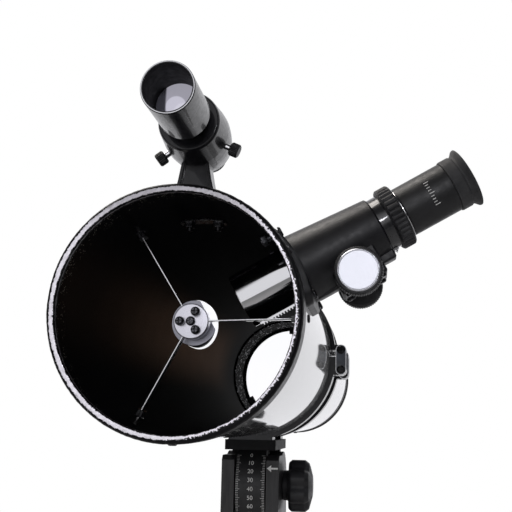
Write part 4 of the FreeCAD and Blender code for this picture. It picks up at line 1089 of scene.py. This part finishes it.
def build_finder_tube():
    bm = bmesh.new()
    tube = fillet([(13.9, -40, 0.2), (14.6, -40), (15.0, -40), (15.2, -40, 0.2), (15.5, -39.2, 0.3),
                   (15.5, 6.5, 1.5), (14.2, 9, 2), (11.5, 14, 2), (11.5, 80, 0.4), (9, 80), (9, 89, 0.3),
                   (7.8, 89, 0.3), (7.8, 75), (10.2, 71), (10.2, 2), (12.6, -4), (13.9, -4)], 5)
    lathe(bm, tube, FINDER, 160)
    for face in bm.faces:
        middle = face.calc_center_median()
        away = Vector((middle.x, middle.z - FINDER_Z)).length / MM
        height = (middle.y - FINDER_Y) / MM
        if away < 13.95 and height < 12:
            face.material_index = 1
        if height < -39.9 and 14.6 < away < 15.1:
            face.material_index = 2
    rim = turned_silver("shield_rim", FINDER.translation, (0, 1, 0), (0.66, 0.66, 0.68), (0.2, 0.34))
    barrel = finish_mesh("finder_barrel", bm, [FINDER_GLOSS, FLAT_BLACK, rim])
    place(barrel, "tube", "gloss_plastic", "finder_tube")

    bulge = [Vector((13.85 * k / 16, -9.5 + 2.2 * (k / 16) ** 2)) for k in range(17)]
    bulge += [Vector((13.85, -4.1)), Vector((0, -4.1))]
    place(turned("finder_objective_glass", bulge, FINDER, FINDER_LENS, 128, False), "tube", "glass",
          "finder_objective")

    eye = fillet([(9.06, 80.1), (11.0, 80.1, 0.4), (12.0, 81.4, 0.8), (12.0, 95, 0.8), (10.6, 96.4, 0.4),
                  (10.6, 101, 0.4), (9.8, 103, 0.8), (6.4, 103, 0.6), (4.6, 98.4, 0.3), (0, 98), (0, 90),
                  (9.06, 90)], 4)
    ribbed = only_beyond(11.5, ribs(32, 0.6, 82.2, 94.6, 0.7))
    grip = turned("finder_eyepiece_ribbed", dense(eye, 1.2), FINDER, SATIN, 320, False, ribbed)
    place(grip, "finder_eyepiece", "gloss_plastic", "finder_eyepiece")


def build_finder_bracket():

    """A flared collar, a stalk that spreads downwards between raised edges, and a curved foot."""
    collar = fillet([(11.6, 19, 0.3), (18.2, 19, 0.9), (19, 21, 1.5), (20.9, 42, 3), (21.2, 50, 0.5),
                     (20.9, 50.3, 0.1), (20.8, 50.9, 0.1), (20.9, 51.2, 0.3), (20.6, 58, 3), (19.0, 72, 0.6),
                     (17, 72, 0.4), (17, 50, 1), (15, 24.5, 1), (11.6, 24, 0.3)], 5)
    bracket = turned("finder_bracket_moulded", collar, FINDER, FINDER_GLOSS, 160)
    at = station(0, FINDER_Y, FINDER_Z)
    parts = []

    def slab(name, corners, low, high, soft):
        """An upright slab drawn in the XZ plane between two depths."""
        made = bmesh.new()
        faces = []
        for y in (low, high):
            faces.append([made.verts.new(at @ (Vector((x, y, z)) * MM)) for x, z in corners])
        made.faces.new(faces[0])
        made.faces.new(list(reversed(faces[1])))
        for k in range(len(corners)):
            after = (k + 1) % len(corners)
            made.faces.new((faces[0][k], faces[1][k], faces[1][after], faces[0][after]))
        bmesh.ops.recalc_face_normals(made, faces=made.faces)
        bmesh.ops.bevel(made, geom=list(made.edges), offset=soft * MM, segments=3, affect="EDGES")
        parts.append(finish_mesh(name, made, FINDER_GLOSS))

    stalk = [(-8.2, -16.5), (8.2, -16.5), (10.2, -30), (13.6, -44.6), (-13.6, -44.6), (-10.2, -30)]
    slab("stalk", stalk, 46, 58, 1.2)
    for side in (-1, 1):
        slab("rib", [(side * 5.6, -17.5), (side * 8.4, -17.5), (side * 10.6, -30), (side * 14, -44.6),
                     (side * 10.8, -44.6), (side * 7.6, -30)], 44, 60, 0.9)
    foot = bmesh.new()
    over_tube = station(0, FRONT_Y + 56 * MM, AXIS_Z)
    curved_plate(foot, over_tube, ON_TUBE, 4.3, 17, 24, 5, 20)
    parts.append(finish_mesh("foot", foot, FINDER_GLOSS))
    combine(bracket, parts, "UNION")
    place(bracket, "tube", "gloss_plastic", "finder_bracket")


def build_finder_screws():
    for side, angle in (("left", 216), ("right", 336), ("top", 96)):
        direction = Vector((math.cos(math.radians(angle)), 0, math.sin(math.radians(angle))))
        at = station(0, FINDER_Y + 46 * MM, FINDER_Z, direction, (0, 1, 0))
        shaft = bar("shaft", (0, 0, 11.6), (0, 0, 25), 1.95, at, CHROME, 28)
        grip = fillet([(0, 24), (3.6, 24, 0.3), (4.4, 24.8, 0.4), (4.4, 29.2, 0.4), (3.7, 30, 0.4),
                       (0, 30)], 3)
        ribbed = only_beyond(3.8, ribs(20, 0.4, 24.6, 29.4, 0.7))
        knob = turned("knob", dense(grip, 0.8), at, SATIN, 160, False, ribbed)
        place(joined(f"finder_thumbscrew_{side}", [shaft, knob]), f"finder_screw_{side}", "black_plastic",
              f"finder_screw_{side}")


# ---------------------------------------------------------------- tube rings and cradle


RING_FRONTS = (330, 405)
LINK_OUT = 81
LINK_HEIGHTS = (5.9, -11.9)


def build_rings():
    for node in ("ring_front_lower", "ring_front_upper", "ring_rear_lower", "ring_rear_upper"):
        softened(node, "black_metal", RING_GLOSS, 0.8, 3)
    softened("ring_links", "black_metal", LINK_GLOSS, 0.5, 2)
    softened("cradle_plate", "black_metal", FLAT_BLACK, 0.8, 3)
    # A pad under the plate hides the daylight above the fork. It reaches slightly into both cheeks.
    under = station(0, FRONT_Y, AXIS_Z)
    pad = block("cradle_pad", (-22.4, 372, -87.6), (22.4, 384, -84.9), under, FLAT_BLACK, 0.3)
    place(pad, "tube", "black_metal")
    softened("cradle_screws", "black_screw", BLACK_STEEL, 0.3)


def build_link_pins():
    heads = []
    for front in RING_FRONTS:
        for z in LINK_HEIGHTS:
            for y, out in ((front - 2.1, -1), (front + 24.1, 1)):
                at = station(LINK_OUT * MM, FRONT_Y + y * MM, AXIS_Z + z * MM, (0, out, 0), (1, 0, 0))
                heads.append(cross_head("link_head", at, 3.7, 1.6, HEAD_BLACK))
        # A painted highlight runs round the front face of each ring's link plate, as a bright edge line.
        bm = bmesh.new()
        line = []
        for out, y in ((4.75, -2.2), (4.25, -2.3), (4.25, -2.0), (4.75, -2.0)):
            row = []
            for step in range(48):
                angle = 2 * math.pi * (step + 0.5) / 48
                middle_z = LINK_HEIGHTS[0] if angle < math.pi else LINK_HEIGHTS[1]
                x, z = LINK_OUT + out * math.cos(angle), middle_z + out * math.sin(angle)
                row.append(bm.verts.new(TUBE.translation + Vector((x, front + y, z)) * MM))
            line.append(row)
        for low, high in zip(line, line[1:] + line[:1]):
            for step in range(48):
                after = (step + 1) % 48
                bm.faces.new((low[step], low[after], high[after], high[step]))
        heads.append(finish_mesh("link_edge", bm, LINK_PAINTED_HIGHLIGHT))
        for z in LINK_HEIGHTS:
            at = station(LINK_OUT * MM, FRONT_Y + (front - 2.1) * MM, AXIS_Z + z * MM, *ALONG_TUBE)
            heads.append(bar("link_pin", (0, 0, 0), (0, 0, 26.2), 1.98, at, STEEL, 24))
    place(joined("link_pin_set", heads), "tube", "black_screw", "link_pins")


def build_ring_clamps():
    for name in ("front", "rear"):
        at = station(*joints[f"{name}_clamp_turn"]["pos_m"])
        stud = bar("stud", (0, 0, -7.5), (0, 0, 9), 2.95, at, STEEL, 28)
        grip = fillet([(0, 8.6), (6.6, 8.6, 0.5), (9, 11, 1), (9, 20.6, 1.5), (7, 23, 1.2), (0, 23.0)], 4)
        knob = turned("knob", dense(grip, 1.5), at, GRIP, 200, False, ribs(10, 1.5, 10, 22.6, 0.45))
        clamp = joined(f"ring_clamp_{name}", [stud, knob])
        place(clamp, f"{name}_clamp", "black_plastic", f"clamp_knob_{name}")


SCALE_START = 38
SCALE_RADIUS = 45.03


def rim_at(angle, offset=0.0):
    """A place on the drum's rim, facing outwards, with local Y towards the top of the figures."""
    turn = math.radians(angle)
    out = Vector((0, -math.cos(turn), math.sin(turn)))
    up = Vector((0, math.sin(turn), math.cos(turn)))
    side = up.cross(out)
    middle = PIVOT + out * SCALE_RADIUS * MM + side * offset * MM
    return Matrix((side, up, out)).transposed().to_4x4(), middle


def printed_figure(text, at):
    """A number in raised print."""
    figure = bpy.data.curves.new("figure", "FONT")
    figure.body = text
    figure.size = 5.4 * MM
    figure.extrude = 0.04 * MM
    figure.align_x, figure.align_y = "CENTER", "CENTER"
    holder = bpy.data.objects.new("figure", figure)
    bpy.context.scene.collection.objects.link(holder)
    bpy.context.view_layer.update()
    mesh = bpy.data.meshes.new_from_object(holder)
    mesh.transform(at)
    mesh.materials.clear()
    mesh.materials.append(PRINT)
    bpy.data.objects.remove(holder)
    piece = bpy.data.objects.new("figure", mesh)
    bpy.context.scene.collection.objects.link(piece)
    return piece


def build_altitude_scale():
    softened("altitude_drum", "black_plastic", SATIN, 0.6, 3)
    marks = []
    for degrees in range(0, 82, 2):
        turn, middle = rim_at(SCALE_START - degrees)
        at = Matrix.Translation(middle) @ turn
        long = 3.6 if degrees % 10 == 0 else 2.2
        for start, end in ((-13, -13 + long), (13 - long, 13)):
            marks.append(block("tick", (start, -0.16, -0.06), (end, 0.16, 0.02), at, PRINT))
        if degrees % 10 == 0:
            marks.append(printed_figure(str(degrees), at))
    place(joined("altitude_scale", marks), "tube", "black_plastic")


def build_altitude_pointer():
    """A printed pointer on the right cheek's front edge."""
    cheek_low, cheek_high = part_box("fork_right")
    front = PIVOT.y - 45 * MM
    middle_x = (cheek_low.x + cheek_high.x) / 2
    level = PIVOT.z + 17 * MM
    bm = bmesh.new()
    outline = [(-5.2, 0), (-1.2, 3.0), (-1.2, 0.8), (4.8, 0.8), (4.8, -0.8), (-1.2, -0.8), (-1.2, -3.0)]
    layers = []
    for depth in (-0.02, 0.05):
        y = front - depth * MM
        layers.append([bm.verts.new(Vector((middle_x + x * MM, y, level + z * MM))) for x, z in outline])
    bm.faces.new(layers[0])
    bm.faces.new(list(reversed(layers[1])))
    for k in range(len(outline)):
        after = (k + 1) % len(outline)
        bm.faces.new((layers[0][k], layers[0][after], layers[1][after], layers[1][k]))
    place(finish_mesh("altitude_pointer", bm, PRINT), "turntable", "board")


def build_altitude_axle():
    at = station(*PIVOT, (1, 0, 0), (0, 1, 0))
    dome = fillet([(0, -30.9), (7, -30.8, 3), (12.2, -27.9, 2), (13, -26, 0.2), (5.98, -26),
                   (5.98, 49.8, 0.6), (0, 49.8)], 5)
    place(turned("altitude_bolt", dome, at, STEEL, 96, False), "turntable", "steel", "altitude_axle")

    def lobes(angle, radius, height):
        return radius if radius < 15 else radius - 3.4 * (0.5 - 0.5 * math.cos(7 * angle)) ** 1.6
    knob = fillet([(6.05, 26.3), (13.6, 26.3, 0.6), (13.9, 31.4, 0.6), (21.5, 31.6, 1.5), (24, 34.5, 2),
                   (24, 47, 2), (21, 50.8, 2), (10, 53.6, 3), (0, 54), (0, 50.2), (6.05, 50.2)], 6)
    place(turned("tension_knob", knob, at, GRIP, 280, False, lobes), "altitude_knob", "black_plastic",
          "altitude_knob")


# ---------------------------------------------------------------- base


def build_base():
    for node in ("fork_left", "fork_right", "fork_spacers"):
        softened(node, "board", BOARD, 0.9, 3)
    softened("fork_screws", "black_screw", BLACK_STEEL, 0.3)
    softened("friction_washers", "ptfe", PTFE, 0.15)
    softened("azimuth_pads", "ptfe", PTFE, 0.3)
    softened("azimuth_hub", "steel", STEEL, 0.3)
    softened("azimuth_nut", "steel", STEEL, 0.5)

    upright = station(0, 0, 0)
    boards = (("ground_board", "ground_disc", None), ("turntable_board", "turntable_disc", 10.08))
    for node, name, bore in boards:
        low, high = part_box(node)
        radius = (high.x - low.x) / 2 / MM
        bottom, top = low.z / MM, high.z / MM
        bm = bmesh.new()
        if bore:
            profile = [(bore, bottom, 0.5), (radius, bottom, 2), (radius, top, 2), (bore, top, 0.5)]
        else:
            profile = [(22.02, bottom, 0.3), (radius, bottom, 2), (radius, top, 2), (10.02, top, 0.5),
                       (10.02, 4), (22.02, 4)]
        lathe(bm, fillet(profile, 5), upright, 256)
        for face in bm.faces:
            middle = face.calc_center_median()
            if Vector((middle.x, middle.y)).length > (radius - 1.3) * MM:
                face.material_index = 1
        place(finish_mesh(name, bm, [BOARD, BAND]), frame["nodes"][node]["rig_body"], "board", node)


FEET_CIRCLE = 0.17


def build_feet():
    bm = bmesh.new()
    for angle in (90, 210, 330):
        turn = math.radians(angle)
        at = station(FEET_CIRCLE * math.cos(turn), FEET_CIRCLE * math.sin(turn), 0)
        foot = fillet([(0, -20), (17.4, -20, 1.2), (19, -17, 1), (19, -14.5, 0.5), (18.2, -13.8, 0.3),
                       (18.2, -12.8, 0.3), (19.6, -12, 0.4), (20, -1, 0.8), (19, 0), (0, 0)], 4)
        lathe(bm, foot, at, 96, closed=False)
    place(finish_mesh("rubber_foot_set", bm, RUBBER), "ground", "rubber", "rubber_feet")


# ---------------------------------------------------------------- floor, light and camera

CAMERA_FROM_TUBE = Vector((0.113, -0.535, -0.060))
FORWARD = Vector((-0.126, 0.977, 0.172)).normalized()
UP = Vector((0, -0.174, 0.985))
FOCAL = 66.8


def build_camera():
    lens = bpy.data.cameras.new("camera")
    lens.lens = FOCAL
    lens.sensor_width = 36
    lens.clip_start = 0.02
    camera = bpy.data.objects.new("camera", lens)
    bpy.context.scene.collection.objects.link(camera)
    right = FORWARD.cross(UP).normalized()
    up = right.cross(FORWARD)
    turn = Matrix((right, up, -FORWARD)).transposed().to_4x4()
    camera.matrix_world = Matrix.Translation(TUBE.translation + CAMERA_FROM_TUBE) @ turn
    bpy.context.scene.camera = camera
    return camera


def softbox(name, place_at, target, width, height, power, colour=(1, 1, 1)):
    lamp = bpy.data.lights.new(name, "AREA")
    lamp.shape = "RECTANGLE"
    lamp.size, lamp.size_y = width, height
    lamp.energy = power
    lamp.color = colour
    piece = bpy.data.objects.new(name, lamp)
    piece.location = place_at
    piece.rotation_euler = (Vector(target) - Vector(place_at)).to_track_quat("-Z", "Y").to_euler()
    piece.visible_camera = False
    bpy.context.scene.collection.objects.link(piece)
    return piece


def stepped(tree, value, low, high, start, end):
    """A smooth step of a value, between two brightnesses."""
    ranged = tree.nodes.new("ShaderNodeMapRange")
    ranged.interpolation_type = "SMOOTHSTEP"
    for socket, setting in zip(("From Min", "From Max", "To Min", "To Max"), (low, high, start, end)):
        ranged.inputs[socket].default_value = setting
    tree.links.new(value, ranged.inputs["Value"])
    return ranged.outputs["Result"]


def build_world():
    """White paper all round; what lights and reflects is bright behind and above, dim in front."""
    world = bpy.data.worlds.new("studio")
    bpy.context.scene.world = world
    world.use_nodes = True
    tree = world.node_tree
    nodes, links = tree.nodes, tree.links
    shown = nodes["Background"]
    shown.inputs["Color"].default_value = (1, 1, 1, 1)
    shown.inputs["Strength"].default_value = 1.0
    place_at = nodes.new("ShaderNodeTexCoord")
    parts = nodes.new("ShaderNodeSeparateXYZ")
    links.new(place_at.outputs["Generated"], parts.inputs["Vector"])
    behind = stepped(tree, parts.outputs["Y"], 0.30, 0.92, 0.0, 0.97)
    lighting = nodes.new("ShaderNodeBackground")
    lighting.inputs["Color"].default_value = (0.97, 0.97, 1.0, 1)
    # A pale card behind the camera is what the flat silver faces show.
    towards = nodes.new("ShaderNodeVectorMath")
    towards.operation = "DOT_PRODUCT"
    towards.inputs[1].default_value = Vector((-0.17, -0.98, 0.11)).normalized()
    links.new(place_at.outputs["Generated"], towards.inputs[0])
    card = stepped(tree, towards.outputs["Value"], 0.80, 0.94, 0.018, 0.95)
    both = nodes.new("ShaderNodeMath")
    links.new(behind, both.inputs[0])
    links.new(card, both.inputs[1])
    links.new(both.outputs["Value"], lighting.inputs["Strength"])
    path = nodes.new("ShaderNodeLightPath")
    mix = nodes.new("ShaderNodeMixShader")
    links.new(path.outputs["Is Camera Ray"], mix.inputs["Fac"])
    links.new(lighting.outputs["Background"], mix.inputs[1])
    links.new(shown.outputs["Background"], mix.inputs[2])
    links.new(mix.outputs["Shader"], nodes["World Output"].inputs["Surface"])


def build_stage():
    bm = bmesh.new()
    floor_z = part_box("rubber_feet")[0].z / MM
    lathe(bm, [Vector((0, floor_z)), Vector((2600, floor_z))], station(0, 0, 0), 96, closed=False)
    s = Surface("pale_floor", (0.80, 0.80, 0.80), 0.7)
    s.vary_colour(8, (0.79, 0.79, 0.79), (0.82, 0.82, 0.82))
    floor = finish_mesh("floor", bm, s.material)
    middle = TUBE.translation
    softbox("sparkle", middle + Vector((0.30, -1.15, 0.35)), middle, 0.12, 0.12, 1.2, (0.94, 0.94, 1.0))
    softbox("top_box", middle + Vector((-0.57, 0.33, 1.19)), middle, 0.6, 1.2, 12.5, (1.0, 0.95, 0.90))
    softbox("left_box", middle + Vector((-1.4, -0.2, 0.5)), middle, 0.3, 1.2, 1.6)
    softbox("right_box", middle + Vector((1.4, 0.1, 0.9)), middle, 0.3, 1.2, 1.6, (0.92, 0.94, 1.0))
    scene = bpy.context.scene
    scene.view_settings.view_transform = "Standard"
    scene.view_settings.look = "None"


build_camera()
build_world()
build_stage()
build_tube()
build_tube_screws()
build_spider()
build_primary()
build_mirror_cell()
build_collimation()
build_focuser()
build_focuser_bolts()
build_drawtube()
build_eyepiece_clamp()
build_pinion()
build_eyepiece()
build_finder_tube()
build_finder_bracket()
build_finder_screws()
build_rings()
build_link_pins()
build_ring_clamps()
build_altitude_scale()
build_altitude_pointer()
build_altitude_axle()
build_base()
build_feet()
